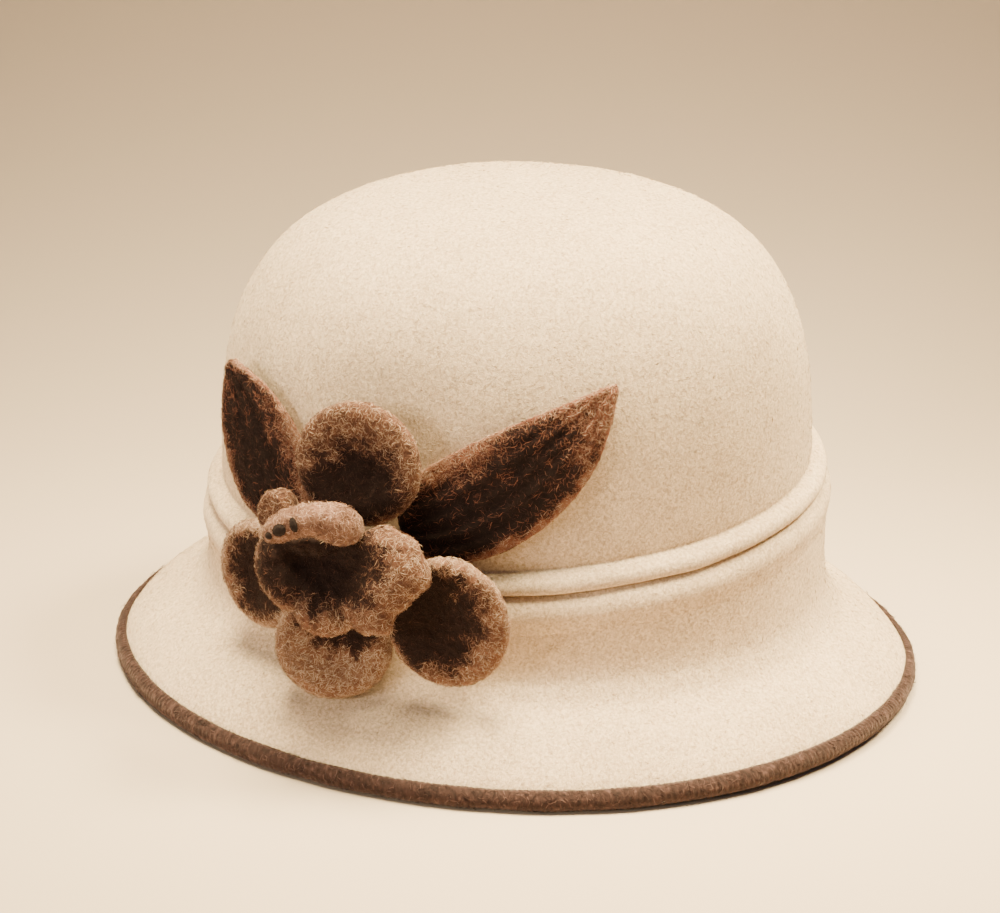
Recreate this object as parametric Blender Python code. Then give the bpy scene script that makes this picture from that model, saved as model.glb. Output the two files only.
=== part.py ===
# Cloche hat of thick wool felt with a stitched tuck, a wound wool edge and a felted flower.
# Metres. Front is -Y, up is +Z, the wearer's left is +X. The hat rests on its edge at z = 0.

import math

import bmesh
import bpy
from mathutils import Vector

# Crown: outside sizes of the oval just above the tuck
CROWN_HALF_LENGTH = 0.1002
CROWN_HALF_WIDTH = 0.0864
CROWN_HEIGHT = 0.1621
DOME_START = 0.0685
DOME_SQUARENESS = 3.0
CROWN_LEAN = 0.0431
FELT_THICKNESS = 0.0027
DENT_DEPTH = 0.0022
DENT_WIDTH = 0.030
DENT_ANGLE = math.radians(66)
DENT_HEIGHT = 0.114

# Tuck: a fold of the felt that stands out as a roll above a stitched groove
GROOVE_HEIGHT = 0.0597
TUCK_HEIGHT = 0.0068
TUCK_DEPTH = 0.0054
PUFF_HEIGHT = 0.0074
PUFF_DEPTH = 0.0062
INNER_GROOVE_OUT = 0.45
TUCK_RISE_BACK = 0.0805
TUCK_RISE_RIGHT = 0.066
TILT_FADE_HEIGHT = 0.112

# Brim: how far its edge stands out, and where the band turns into the brim
BRIM_WIDTH = 0.0355
BRIM_TRIM_RIGHT = 0.0030
TRIM_START = 0.1
TRIM_FULL = -0.7
BAND_OUT = 0.0057
FLARE_HEIGHT = 0.0186
EDGE_LIFT = 0.0015
EDGE_LIFT_ANGLE = math.radians(145)
EDGE_LIFT_SPREAD = math.radians(34)

# Edge roll of wound wool that takes the brim's edge in a slot: its section is an oval with a
# small flat below, and its centre lies a share of its size outward and below the felt's edge
ROLL_HEIGHT = 0.0074
ROLL_WIDTH = 0.0068
ROLL_OUTWARD = 0.06
ROLL_DROP = 0.40
ROLL_FLAT_TURN = math.radians(17)
CLEARANCE = 0.0003

# Place of the flower on the hat, and the felted pads that it is made of
FLOWER_ANGLE = math.radians(59.2)
FLOWER_HEIGHT = 0.0586
FLOWER_STANDOFF = 0.005
PETAL_RADIUS = 0.0205
PETAL_THICKNESS = 0.0076
PETAL_ROOT_RADIUS = 0.0032
LIP_SIZE = 0.0350
LIP_THICKNESS = 0.0080
LIP_ROOT_RADIUS = 0.0042
LOBE_THICKNESS = 0.0090
COLUMN_RADIUS = 0.0060
SPOT_THICKNESS = 0.0011
LEAF_LENGTH = 0.0776
LEAF_THICKNESS = 0.0036

# Mesh fineness
HAT_SEGMENTS = 64
PETAL_SEGMENTS = 20
LIP_SEGMENTS = 32
SMALL_SEGMENTS = 14
SPOT_SEGMENTS = 10
ROLL_HALF_STEPS = 5
ROOT_CHECKS = 12
SURFACE_STEPS = 22

# Dome outline: share of a quarter turn at each row, from the top centre to the wall
DOME_OUTER_TURNS = (0.97, 0.89, 0.78, 0.64, 0.50, 0.36, 0.22, 0.11, 0.03, 0.0)
DOME_INNER_TURNS = (0.92, 0.74, 0.56, 0.38, 0.20, 0.03)

# Tuck roll: (share of the roll's height above the groove, share of its depth)
TUCK_ROWS = (
    (0.94, 0.42),
    (0.74, 0.84),
    (0.46, 1.00),
    (0.20, 0.95),
    (0.05, 0.74),
    (0.00, 0.46),
)

# Puff under the groove: (share of its height below the groove, share of its depth)
PUFF_ROWS = (
    (0.07, 0.72),
    (0.36, 1.00),
    (0.74, 0.92),
)

# Band and brim: (share of the brim's width outward, share of the flare's height or of the band)
BAND_ROWS = (
    (1.00, 0.64),
    (1.00, 0.38),
    (1.18, 0.20),
)
BRIM_ROWS = (
    (0.260, 1.200),
    (0.350, 1.000),
    (0.490, 0.840),
    (0.660, 0.640),
    (0.830, 0.375),
    (0.940, 0.160),
    (1.000, 0.000),
)

# Petals in the flower's frame: centre across, up and out, and half width and half height, as
# shares of a petal's usual radius, and how much the petal leans
PETALS = {
    "petal_top": dict(
        across=0.180, up=1.800, out=0.205, width=1.039, height=1.000, lean_across=0.12, lean_up=0.10,
    ),
    "petal_right": dict(
        across=1.878, up=-0.483, out=0.244, width=1.000, height=1.102, lean_across=0.20, lean_up=-0.05,
    ),
    "petal_bottom": dict(
        across=0.000, up=-1.220, out=0.507, width=0.951, height=0.868, lean_across=0.30, lean_up=0.30,
    ),
    "petal_left": dict(
        across=-1.532, up=-0.512, out=0.098, width=0.927, height=0.888, lean_across=-0.30, lean_up=0.00,
    ),
}

# Section of a felted pad: (share of the radius, share of the thickness in front of its middle)
PAD_FRONT = ((0.30, 0.30), (0.55, 0.42), (0.76, 0.50), (0.90, 0.42), (0.98, 0.20))
PAD_BACK = ((0.98, -0.20), (0.84, -0.44), (0.52, -0.50), (0.24, -0.50))
PAD_FRONT_CENTRE = 0.26

# Lip: the flower's ruffled front petal. Its throat lies in the flower's frame at shares of a
# petal's radius, and its outline is (direction in degrees, share of the lip's size from there)
LIP = dict(across=0.180, up=0.337, out=1.098, lean_across=0.10, lean_up=0.30)
LIP_REACH = (
    (-172, 0.714),
    (-156, 0.677),
    (-139, 0.614),
    (-121, 0.537),
    (-103, 0.600),
    (-82, 0.620),
    (-66, 0.600),
    (-58, 0.571),
    (-46, 0.714),
    (-34, 0.829),
    (-23, 0.771),
    (-10, 0.863),
    (6, 1.000),
    (24, 0.920),
    (41, 0.749),
    (60, 0.371),
    (96, 0.286),
    (140, 0.414),
    (165, 0.714),
)
LIP_FRONT = ((0.22, 0.02), (0.45, 0.36), (0.66, 0.56), (0.82, 0.54), (0.94, 0.32), (1.00, 0.0))
LIP_BACK = ((0.93, -0.34), (0.70, -0.48), (0.35, -0.52))
LIP_FRONT_CENTRE = -0.06

# Small lobe behind the column: place from the lip's throat, and half sizes, as shares of the
# lip's size
LOBE = dict(
    across=-0.649, up=0.351, out=-0.209, width=0.177, height=0.206, lean_across=-0.1, lean_up=0.1,
)

# Column: (across, up, out from the lip's throat as shares of the lip's size, share of the
# column's radius) from its base to its tip
COLUMN_ROWS = (
    (0.177, 0.380, -0.016, 0.55),
    (0.184, 0.432, 0.010, 1.00),
    (0.130, 0.515, 0.092, 1.08),
    (0.020, 0.550, 0.172, 0.94),
    (-0.110, 0.545, 0.237, 0.86),
    (-0.245, 0.500, 0.291, 0.80),
    (-0.345, 0.430, 0.322, 0.70),
    (-0.430, 0.365, 0.340, 0.48),
)

# Rounding of the column's two ends, as shares of its radius
COLUMN_START_CROWN = 0.3
COLUMN_TIP_CROWN = 0.6

# Spots on the column: place along its rows, and half sizes as shares of its radius
SPOTS = {
    "spot_inner": dict(station=4.55, half_width=0.217, half_height=0.433),
    "spot_middle": dict(station=5.50, half_width=0.400, half_height=0.350),
    "spot_outer": dict(station=6.50, half_width=0.200, half_height=0.217),
}

# Spot section: (share of its half sizes, share of its thickness above the middle)
SPOT_ROWS = (
    (0.55, 0.5),
    (1.00, 0.1),
    (0.90, -0.2),
    (0.50, -0.3),
)
SPOT_TOP = 1.05
SPOT_FOOT = 0.2
SPOT_FACING_ACROSS = 0.35
SPOT_FACING_UP = 0.25

# Leaves: base in the flower's frame as shares of a petal's radius, then the middle line's bend
# and tip from there and the half width as shares of the leaf's length, how far the leaf follows
# the crown's curve, and its distance from the crown as a share of its thickness
LEAVES = {
    "leaf_right": dict(
        base=(0.805, 0.707), bend=(0.486, 0.180), tip=(0.744, 0.669), half_width=0.231,
        follow=0.86, standoff=0.11,
    ),
    "leaf_left": dict(
        base=(-1.366, 0.293), bend=(-0.135, 0.348), tip=(-0.358, 0.622), half_width=0.228,
        follow=0.50, standoff=0.33,
    ),
}

# Small step along a leaf's middle line, as a share of it
LEAF_STEP = 0.02

# Leaf width: (share of its length, share of its half width)
LEAF_WIDTHS = (
    (0.00, 0.50),
    (0.08, 0.74),
    (0.18, 0.93),
    (0.30, 1.00),
    (0.42, 1.00),
    (0.53, 0.94),
    (0.63, 0.85),
    (0.73, 0.71),
    (0.83, 0.51),
    (0.92, 0.28),
    (0.98, 0.10),
)

# Leaf section: (share of its half width aside, share of its thickness in front of its middle)
LEAF_SECTION = (
    (-1.0, 0.0),
    (-0.86, 0.40),
    (-0.45, 0.50),
    (0.0, 0.40),
    (0.45, 0.50),
    (0.86, 0.40),
    (1.0, 0.0),
    (0.80, -0.46),
    (0.0, -0.5),
    (-0.80, -0.46),
)

MATERIALS = {
    "cream_felt": dict(colour=(0.79, 0.68, 0.54), roughness=0.95),
    "edge_wool": dict(colour=(0.15, 0.075, 0.042), roughness=0.95),
    "petal_wool": dict(colour=(0.24, 0.11, 0.055), roughness=0.97),
    "leaf_wool": dict(colour=(0.045, 0.018, 0.012), roughness=0.97),
    "column_wool": dict(colour=(0.52, 0.30, 0.16), roughness=0.96),
    "spot_wool": dict(colour=(0.02, 0.011, 0.008), roughness=0.96),
}


def clear_scene():
    for thing in list(bpy.data.objects):
        bpy.data.objects.remove(thing, do_unlink=True)


def smooth_step(value):
    share = min(1.0, max(0.0, value))
    return share * share * (3.0 - 2.0 * share)


def rest_height():
    """Height of the felt's edge above the floor where the roll's flat lies on it."""
    return ROLL_HEIGHT * (ROLL_DROP + 0.5 * math.cos(ROLL_FLAT_TURN))


def edge_lift(angle):
    """How far a stretch of the edge lifts off the floor."""
    aside = (angle - EDGE_LIFT_ANGLE + math.pi) % (2.0 * math.pi) - math.pi
    return EDGE_LIFT * math.exp(-((aside / EDGE_LIFT_SPREAD) ** 2))


def brim_trim(angle):
    """How much narrower the brim is towards the wearer's right."""
    return BRIM_TRIM_RIGHT * smooth_step((TRIM_START - math.sin(angle)) / (TRIM_START - TRIM_FULL))


def tuck_share(height):
    """How far a row follows the tuck's tilt: none at the brim, all at the tuck, none on top."""
    if height < GROOVE_HEIGHT:
        return smooth_step((height - FLARE_HEIGHT) / (GROOVE_HEIGHT - TUCK_HEIGHT - FLARE_HEIGHT))
    tuck_top = GROOVE_HEIGHT + TUCK_HEIGHT
    return 1.0 - smooth_step((height - tuck_top) / (TILT_FADE_HEIGHT - tuck_top))


def hat_point(angle, height, outward, scale=1.0):
    """A point of the hat: angle 0 is the front and a quarter turn is the wearer's left."""
    outward -= brim_trim(angle) * max(0.0, outward / BRIM_WIDTH) ** 2
    x = (CROWN_HALF_WIDTH * scale + outward) * math.sin(angle)
    y = -(CROWN_HALF_LENGTH * scale + outward) * math.cos(angle)
    share = tuck_share(height)
    rise = share * (TUCK_RISE_BACK * y - TUCK_RISE_RIGHT * x)
    if height > GROOVE_HEIGHT:
        rise += (1.0 - share) * CROWN_LEAN * y
    rise += edge_lift(angle) * (1.0 - smooth_step(height / GROOVE_HEIGHT))
    shift = BRIM_TRIM_RIGHT / 2.0
    return Vector((x - shift, y - CROWN_LEAN * height, rest_height() + height + rise))


def dent(angle, height):
    """The soft hollow in the crown behind the flower."""
    aside = (angle - DENT_ANGLE) * CROWN_HALF_LENGTH / DENT_WIDTH
    above = (height - DENT_HEIGHT) / DENT_WIDTH
    return -DENT_DEPTH * math.exp(-aside * aside - above * above)


def dome_rows(turns, thickness):
    rows = []
    power = 2.0 / DOME_SQUARENESS
    for turn in turns:
        angle = turn * math.pi / 2.0
        scale = max(0.0, math.cos(angle)) ** power
        share = math.sin(angle) ** power if turn > 0.0 else 0.0
        height = DOME_START + (CROWN_HEIGHT - thickness - DOME_START) * share
        rows.append((height, -thickness * scale, scale))
    return rows


def tuck_rows():
    rows = [(GROOVE_HEIGHT + TUCK_HEIGHT, 0.0, 1.0)]
    for rise, depth in TUCK_ROWS:
        rows.append((GROOVE_HEIGHT + TUCK_HEIGHT * rise, TUCK_DEPTH * depth, 1.0))
    for drop, depth in PUFF_ROWS:
        rows.append((GROOVE_HEIGHT - PUFF_HEIGHT * drop, PUFF_DEPTH * depth, 1.0))
    return rows


def band_rows():
    band = GROOVE_HEIGHT - FLARE_HEIGHT
    rows = [(FLARE_HEIGHT + band * rise, BAND_OUT * out, 1.0) for out, rise in BAND_ROWS]
    rows += [(FLARE_HEIGHT * rise, BRIM_WIDTH * out, 1.0) for out, rise in BRIM_ROWS]
    return rows


def inset_rows(rows, thickness):
    """The same outline, one felt thickness further in."""
    inset = []
    for index, (height, outward, scale) in enumerate(rows):
        before = rows[max(0, index - 1)]
        after = rows[min(len(rows) - 1, index + 1)]
        along = Vector((after[1] - before[1], after[0] - before[0])).normalized()
        inset.append((height + along.x * -thickness, outward + along.y * thickness, scale))
    return inset


def inner_rows():
    outside = [(GROOVE_HEIGHT + TUCK_HEIGHT, 0.0, 1.0), (GROOVE_HEIGHT, BAND_OUT * INNER_GROOVE_OUT, 1.0)]
    outside += band_rows()
    rows = inset_rows(outside, FELT_THICKNESS)
    return list(reversed(rows)) + list(reversed(dome_rows(DOME_INNER_TURNS, FELT_THICKNESS)))


def hat_ring(row, count):
    height, outward, scale = row
    ring = []
    for index in range(count):
        angle = 2.0 * math.pi * index / count
        ring.append(hat_point(angle, height, outward + dent(angle, height), scale))
    return ring


def outer_rows():
    return dome_rows(DOME_OUTER_TURNS, 0.0) + tuck_rows() + band_rows()


def outward_at(height):
    """How far the outside of the hat stands out from the crown's oval at a height."""
    rows = tuck_rows() + band_rows()
    for (high, out_high, _), (low, out_low, _) in zip(rows, rows[1:]):
        if low <= height <= high and high > low:
            share = (height - low) / (high - low)
            return out_low + (out_high - out_low) * share
    return 0.0 if height > rows[0][0] else rows[-1][1]


def is_inside_hat(point):
    """Whether a point of the space round the flower is behind the hat's outside."""
    x = point.x + BRIM_TRIM_RIGHT / 2.0
    height = point.z - rest_height()
    for _ in range(4):
        share = tuck_share(height)
        y = point.y + CROWN_LEAN * height
        rise = share * (TUCK_RISE_BACK * y - TUCK_RISE_RIGHT * x)
        if height > GROOVE_HEIGHT:
            rise += (1.0 - share) * CROWN_LEAN * y
        height = point.z - rest_height() - rise
    above = max(0.0, (height - DOME_START) / (CROWN_HEIGHT - DOME_START))
    if above >= 1.0:
        return False
    scale = (1.0 - above**DOME_SQUARENESS) ** (1.0 / DOME_SQUARENESS)
    y = point.y + CROWN_LEAN * height
    angle = math.atan2(x / CROWN_HALF_WIDTH, -y / CROWN_HALF_LENGTH)
    outward = outward_at(height) + dent(angle, height)
    across = x / (CROWN_HALF_WIDTH * scale + outward)
    along = y / (CROWN_HALF_LENGTH * scale + outward)
    return across * across + along * along < 1.0


def flower_frame():
    """The flower's origin on the band, and its directions across, up and out."""
    origin = hat_point(FLOWER_ANGLE, FLOWER_HEIGHT, FLOWER_STANDOFF)
    origin.z = rest_height() + FLOWER_HEIGHT
    slope_x = math.sin(FLOWER_ANGLE) / CROWN_HALF_WIDTH
    slope_y = -math.cos(FLOWER_ANGLE) / CROWN_HALF_LENGTH
    out = Vector((slope_x, slope_y, 0.0)).normalized()
    across = Vector((-out.y, out.x, 0.0))
    return origin, across, Vector((0.0, 0.0, 1.0)), out


def on_flower(across, up, out):
    origin, side, high, away = flower_frame()
    return origin + side * across + high * up + away * out


def surface_out(across, up):
    """How far out the hat's surface lies at a place of the flower's frame."""
    near, far = CROWN_HALF_WIDTH * 0.5, -CROWN_HALF_WIDTH
    for _ in range(SURFACE_STEPS):
        middle = (near + far) / 2.0
        if is_inside_hat(on_flower(across, up, middle)):
            far = middle
        else:
            near = middle
    return near


def make_material(name):
    colour = MATERIALS[name]["colour"]
    material = bpy.data.materials.new(name)
    material.use_nodes = True
    shader = material.node_tree.nodes["Principled BSDF"]
    shader.inputs["Base Color"].default_value = (*colour, 1.0)
    shader.inputs["Roughness"].default_value = MATERIALS[name]["roughness"]
    material.diffuse_color = (*colour, 1.0)
    return material


def make_solid(name, rings, first, last, material):
    """A closed skin through equal rings of points, with a point that closes each end."""
    mesh = bmesh.new()
    grid = [[mesh.verts.new(point) for point in ring] for ring in rings]
    count = len(rings[0])
    for upper, lower in zip(grid, grid[1:]):
        for index in range(count):
            after = (index + 1) % count
            mesh.faces.new((upper[index], upper[after], lower[after], lower[index]))
    for ring, point in ((grid[0], first), (grid[-1], last)):
        centre = mesh.verts.new(point)
        for index in range(count):
            mesh.faces.new((centre, ring[index], ring[(index + 1) % count]))
    finish_solid(name, mesh, material)


def make_tube(name, rings, material):
    """A closed skin through rings that come back to the first."""
    mesh = bmesh.new()
    grid = [[mesh.verts.new(point) for point in ring] for ring in rings]
    count = len(rings[0])
    for upper, lower in zip(grid, grid[1:] + grid[:1]):
        for index in range(count):
            after = (index + 1) % count
            mesh.faces.new((upper[index], upper[after], lower[after], lower[index]))
    finish_solid(name, mesh, material)


def finish_solid(name, mesh, material):
    bmesh.ops.triangulate(mesh, faces=mesh.faces)
    bmesh.ops.recalc_face_normals(mesh, faces=mesh.faces)
    data = bpy.data.meshes.new(name)
    mesh.to_mesh(data)
    mesh.free()
    for face in data.polygons:
        face.use_smooth = True
    data.materials.append(material)
    bpy.context.scene.collection.objects.link(bpy.data.objects.new(name, data))


def make_felt_body(material):
    rows = outer_rows() + inner_rows()
    rings = [hat_ring(row, HAT_SEGMENTS) for row in rows]
    top = hat_point(0.0, CROWN_HEIGHT, 0.0, 0.0)
    inner_top = hat_point(0.0, CROWN_HEIGHT - FELT_THICKNESS, 0.0, 0.0)
    make_solid("felt_body", rings, top, inner_top, material)


def turn_where_slot_leaves(corner, along, centre):
    """The turn on the roll's oval where a side of the slot comes out of it."""
    start = Vector(((corner.x - centre.x) / ROLL_WIDTH, (corner.y - centre.y) / ROLL_HEIGHT)) * 2.0
    step = Vector((along.x / ROLL_WIDTH, along.y / ROLL_HEIGHT)) * -2.0
    half = start.dot(step) / step.dot(step)
    rest = (start.dot(start) - 1.0) / step.dot(step)
    reach = start + step * (math.sqrt(half * half - rest) - half)
    return math.atan2(reach.y, reach.x)


def even_turns(first, last):
    """Turns from the first to the last in even steps."""
    steps = ROLL_HALF_STEPS - 1
    return [first + (last - first) * index / steps for index in range(ROLL_HALF_STEPS)]


def edge_roll_section():
    """The wound roll's section, outward and up from the felt's edge, with its slot."""
    rows = band_rows()
    (high, inside, _), (low, outside, _) = rows[-2], rows[-1]
    along = Vector((outside - inside, low - high)).normalized()
    across = Vector((along.y, -along.x))
    felt_middle = across * (FELT_THICKNESS / 2.0)
    slot_half = FELT_THICKNESS / 2.0 + CLEARANCE
    slot_end = felt_middle + along * CLEARANCE
    centre = Vector((ROLL_WIDTH * ROLL_OUTWARD, -ROLL_HEIGHT * ROLL_DROP))
    slot_top = slot_end - across * slot_half
    slot_low = slot_end + across * slot_half
    start = turn_where_slot_leaves(slot_top, along, centre)
    end = turn_where_slot_leaves(slot_low, along, centre)
    bottom = -math.pi / 2.0
    outer = even_turns(start, bottom + ROLL_FLAT_TURN)
    inner = even_turns(bottom - ROLL_FLAT_TURN, end if end < bottom else end - 2.0 * math.pi)
    points = [slot_top]
    for turn in outer + inner:
        points.append(centre + Vector((math.cos(turn) * ROLL_WIDTH, math.sin(turn) * ROLL_HEIGHT)) / 2)
    points.append(slot_low)
    return points


def make_edge_roll(material):
    section = edge_roll_section()
    rings = []
    for index in range(HAT_SEGMENTS):
        angle = 2.0 * math.pi * index / HAT_SEGMENTS
        ring = []
        for point in section:
            spot = hat_point(angle, 0.0, BRIM_WIDTH + point.x)
            spot.z += point.y
            ring.append(spot)
        rings.append(ring)
    make_tube("edge_roll", rings, material)


def pad_axes(piece):
    """Directions of a pad that leans away from the flower's own frame."""
    _, side, high, away = flower_frame()
    normal = (side * piece["lean_across"] + high * piece["lean_up"] + away).normalized()
    up = (high - normal * high.dot(normal)).normalized()
    right = up.cross(normal)
    return right, up, normal


def pad_centre(piece):
    """Where a petal's or the lip's middle lies, at shares of a petal's radius."""
    place = [piece[key] * PETAL_RADIUS for key in ("across", "up", "out")]
    return on_flower(*place)


def on_lip(across, up, out):
    """A point at shares of the lip's size from the lip's throat."""
    _, side, high, away = flower_frame()
    return pad_centre(LIP) + (side * across + high * up + away * out) * LIP_SIZE


def root_end(piece, depth, radius):
    """The point behind a pad's middle where its root comes to the hat's surface."""
    _, _, normal = pad_axes(piece)
    origin, side, high, _ = flower_frame()
    back = pad_centre(piece) - normal * depth
    across = (back - origin).dot(side)
    height = (back - origin).dot(high)
    wall = surface_out(across, height)
    for index in range(ROOT_CHECKS):
        turn = 2.0 * math.pi * index / ROOT_CHECKS
        for reach in (radius * 0.5, radius):
            x = across + reach * math.cos(turn)
            wall = max(wall, surface_out(x, height + reach * math.sin(turn)))
    return on_flower(across, height, wall + CLEARANCE)


def pad_rings(piece, centre, thickness, outline, section):
    """Rings of a pad: its outline drawn in and lifted as the section says."""
    right, up, normal = pad_axes(piece)
    rings = []
    for share, height in section:
        middle = centre + normal * height * thickness
        rings.append([middle + (right * x + up * y) * share for x, y in outline])
    return rings


def oval_outline(half_width, half_height, count):
    points = []
    for index in range(count):
        turn = 2.0 * math.pi * index / count
        points.append((half_width * math.cos(turn), half_height * math.sin(turn)))
    return points


def root_ring(end, radius, count):
    """The flat end of the stub behind a pad that carries it on the hat."""
    _, side, high, _ = flower_frame()
    ring = []
    for index in range(count):
        turn = 2.0 * math.pi * index / count
        ring.append(end + (side * math.cos(turn) + high * math.sin(turn)) * radius)
    return ring


def make_petal(name, piece, material):
    width, height = piece["width"] * PETAL_RADIUS, piece["height"] * PETAL_RADIUS
    outline = oval_outline(width, height, PETAL_SEGMENTS)
    centre = pad_centre(piece)
    rings = pad_rings(piece, centre, PETAL_THICKNESS, outline, PAD_FRONT + PAD_BACK)
    _, _, normal = pad_axes(piece)
    end = root_end(piece, PETAL_THICKNESS / 2.0, PETAL_ROOT_RADIUS)
    rings.append(root_ring(end, PETAL_ROOT_RADIUS, PETAL_SEGMENTS))
    make_solid(name, rings, centre + normal * PAD_FRONT_CENTRE * PETAL_THICKNESS, end, material)


def reach_towards(direction):
    """The lip's reach in a direction, smoothly between the rows of its outline."""
    rows = LIP_REACH
    count = len(rows)
    for index in range(count):
        here, after = rows[index], rows[(index + 1) % count]
        span = (after[0] - here[0]) % 360
        past = (direction - here[0]) % 360
        if past <= span:
            share = smooth_step(past / span)
            return here[1] + (after[1] - here[1]) * share
    return rows[0][1]


def make_lip(material):
    outline = []
    for index in range(LIP_SEGMENTS):
        direction = 360.0 * index / LIP_SEGMENTS
        reach = reach_towards(direction) * LIP_SIZE
        turn = math.radians(direction)
        outline.append((reach * math.cos(turn), reach * math.sin(turn)))
    centre = pad_centre(LIP)
    rings = pad_rings(LIP, centre, LIP_THICKNESS, outline, LIP_FRONT + LIP_BACK)
    _, _, normal = pad_axes(LIP)
    end = root_end(LIP, LIP_THICKNESS, LIP_ROOT_RADIUS)
    rings.append(root_ring(end, LIP_ROOT_RADIUS, LIP_SEGMENTS))
    first = centre + normal * LIP_FRONT_CENTRE * LIP_THICKNESS
    make_solid("lip", rings, first, end, material)


def make_lobe(material):
    outline = oval_outline(LOBE["width"] * LIP_SIZE, LOBE["height"] * LIP_SIZE, SMALL_SEGMENTS)
    centre = on_lip(LOBE["across"], LOBE["up"], LOBE["out"])
    rings = pad_rings(LOBE, centre, LOBE_THICKNESS, outline, PAD_FRONT[2:] + PAD_BACK[:2])
    _, _, normal = pad_axes(LOBE)
    reach = normal * LOBE_THICKNESS / 2.0
    make_solid("small_lobe", rings, centre + reach, centre - reach, material)


def column_station(station):
    """Centre and radius of the column at a whole or part row."""
    index = min(len(COLUMN_ROWS) - 2, int(station))
    share = station - index
    here, after = COLUMN_ROWS[index], COLUMN_ROWS[index + 1]
    values = [a + (b - a) * share for a, b in zip(here, after)]
    return on_lip(*values[:3]), values[3] * COLUMN_RADIUS


def column_axes(station):
    """Directions of the column at a row: along it, aside and up."""
    last = len(COLUMN_ROWS) - 1
    before, _ = column_station(max(0.0, station - 0.5))
    after, _ = column_station(min(float(last), station + 0.5))
    along = (after - before).normalized()
    _, _, high, away = flower_frame()
    side = high.cross(along).normalized()
    up = along.cross(side)
    return along, side, up


def make_column(material):
    rings = []
    for station in range(len(COLUMN_ROWS)):
        centre, radius = column_station(float(station))
        _, side, up = column_axes(float(station))
        ring = []
        for index in range(SMALL_SEGMENTS):
            turn = 2.0 * math.pi * index / SMALL_SEGMENTS
            ring.append(centre + (side * math.cos(turn) + up * math.sin(turn)) * radius)
        rings.append(ring)
    last_row = float(len(COLUMN_ROWS) - 1)
    base, _ = column_station(0.0)
    tip, tip_radius = column_station(last_row)
    base_along, _, _ = column_axes(0.0)
    tip_along, _, _ = column_axes(last_row)
    first = base - base_along * COLUMN_RADIUS * COLUMN_START_CROWN
    last = tip + tip_along * tip_radius * COLUMN_TIP_CROWN
    make_solid("column", rings, first, last, material)


def make_spot(name, spot, material):
    """A small felted spot on the outward side of the column."""
    centre, radius = column_station(spot["station"])
    along, _, _ = column_axes(spot["station"])
    _, side, high, away = flower_frame()
    facing = (away + side * SPOT_FACING_ACROSS + high * SPOT_FACING_UP).normalized()
    facing = (facing - along * facing.dot(along)).normalized()
    cross = along.cross(facing)
    base = centre + facing * (radius + CLEARANCE)
    rings = []
    for share, height in SPOT_ROWS:
        ring = []
        for index in range(SPOT_SEGMENTS):
            turn = 2.0 * math.pi * index / SPOT_SEGMENTS
            x = spot["half_width"] * COLUMN_RADIUS * share * math.cos(turn)
            y = spot["half_height"] * COLUMN_RADIUS * share * math.sin(turn)
            drop = radius - math.sqrt(max(0.0, radius * radius - y * y))
            lift = SPOT_THICKNESS * (height + 0.5) - drop
            ring.append(base + along * x + cross * y + facing * lift)
        rings.append(ring)
    first = base + facing * SPOT_THICKNESS * SPOT_TOP
    last = base + facing * SPOT_THICKNESS * SPOT_FOOT
    make_solid(name, rings, first, last, material)


def bezier(points, share):
    (ax, ay), (bx, by), (cx, cy) = points
    rest = 1.0 - share
    x = rest * rest * ax + 2.0 * rest * share * bx + share * share * cx
    y = rest * rest * ay + 2.0 * rest * share * by + share * share * cy
    return x, y


def leaf_line(leaf):
    """Base, bend and tip of a leaf's middle line across and up in the flower's frame."""
    base_x, base_y = (share * PETAL_RADIUS for share in leaf["base"])
    line = [(base_x, base_y)]
    for key in ("bend", "tip"):
        line.append((base_x + leaf[key][0] * LEAF_LENGTH, base_y + leaf[key][1] * LEAF_LENGTH))
    return line


def leaf_point(leaf, line, place, lift):
    """A point of a leaf, which follows the crown's curve as far as its row says."""
    wall = surface_out(*place)
    wall_at_base = surface_out(*line[0])
    out = wall * leaf["follow"] + wall_at_base * (1.0 - leaf["follow"])
    return on_flower(*place, out + LEAF_THICKNESS * (lift + 0.5 + leaf["standoff"]))


def make_leaf(name, leaf, material):
    line = leaf_line(leaf)
    rings = []
    for share, width in LEAF_WIDTHS:
        x, y = bezier(line, share)
        ahead_x, ahead_y = bezier(line, share + LEAF_STEP)
        along = Vector((ahead_x - x, ahead_y - y)).normalized()
        aside = Vector((-along.y, along.x)) * leaf["half_width"] * LEAF_LENGTH * width
        ring = []
        for place, lift in LEAF_SECTION:
            spot = (x + aside.x * place, y + aside.y * place)
            ring.append(leaf_point(leaf, line, spot, lift))
        rings.append(ring)
    first = leaf_point(leaf, line, bezier(line, -LEAF_STEP), 0.0)
    last = leaf_point(leaf, line, line[2], 0.0)
    make_solid(name, rings, first, last, material)


def main():
    clear_scene()
    materials = {name: make_material(name) for name in MATERIALS}
    make_felt_body(materials["cream_felt"])
    make_edge_roll(materials["edge_wool"])
    for name, piece in PETALS.items():
        make_petal(name, piece, materials["petal_wool"])
    for name, leaf in LEAVES.items():
        make_leaf(name, leaf, materials["leaf_wool"])
    make_lip(materials["petal_wool"])
    make_lobe(materials["petal_wool"])
    make_column(materials["column_wool"])
    for name, spot in SPOTS.items():
        make_spot(name, spot, materials["spot_wool"])


main()
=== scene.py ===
import math

import bpy
import numpy as np
from mathutils import Euler, Matrix, Vector, noise
from mathutils.bvhtree import BVHTree


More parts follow.
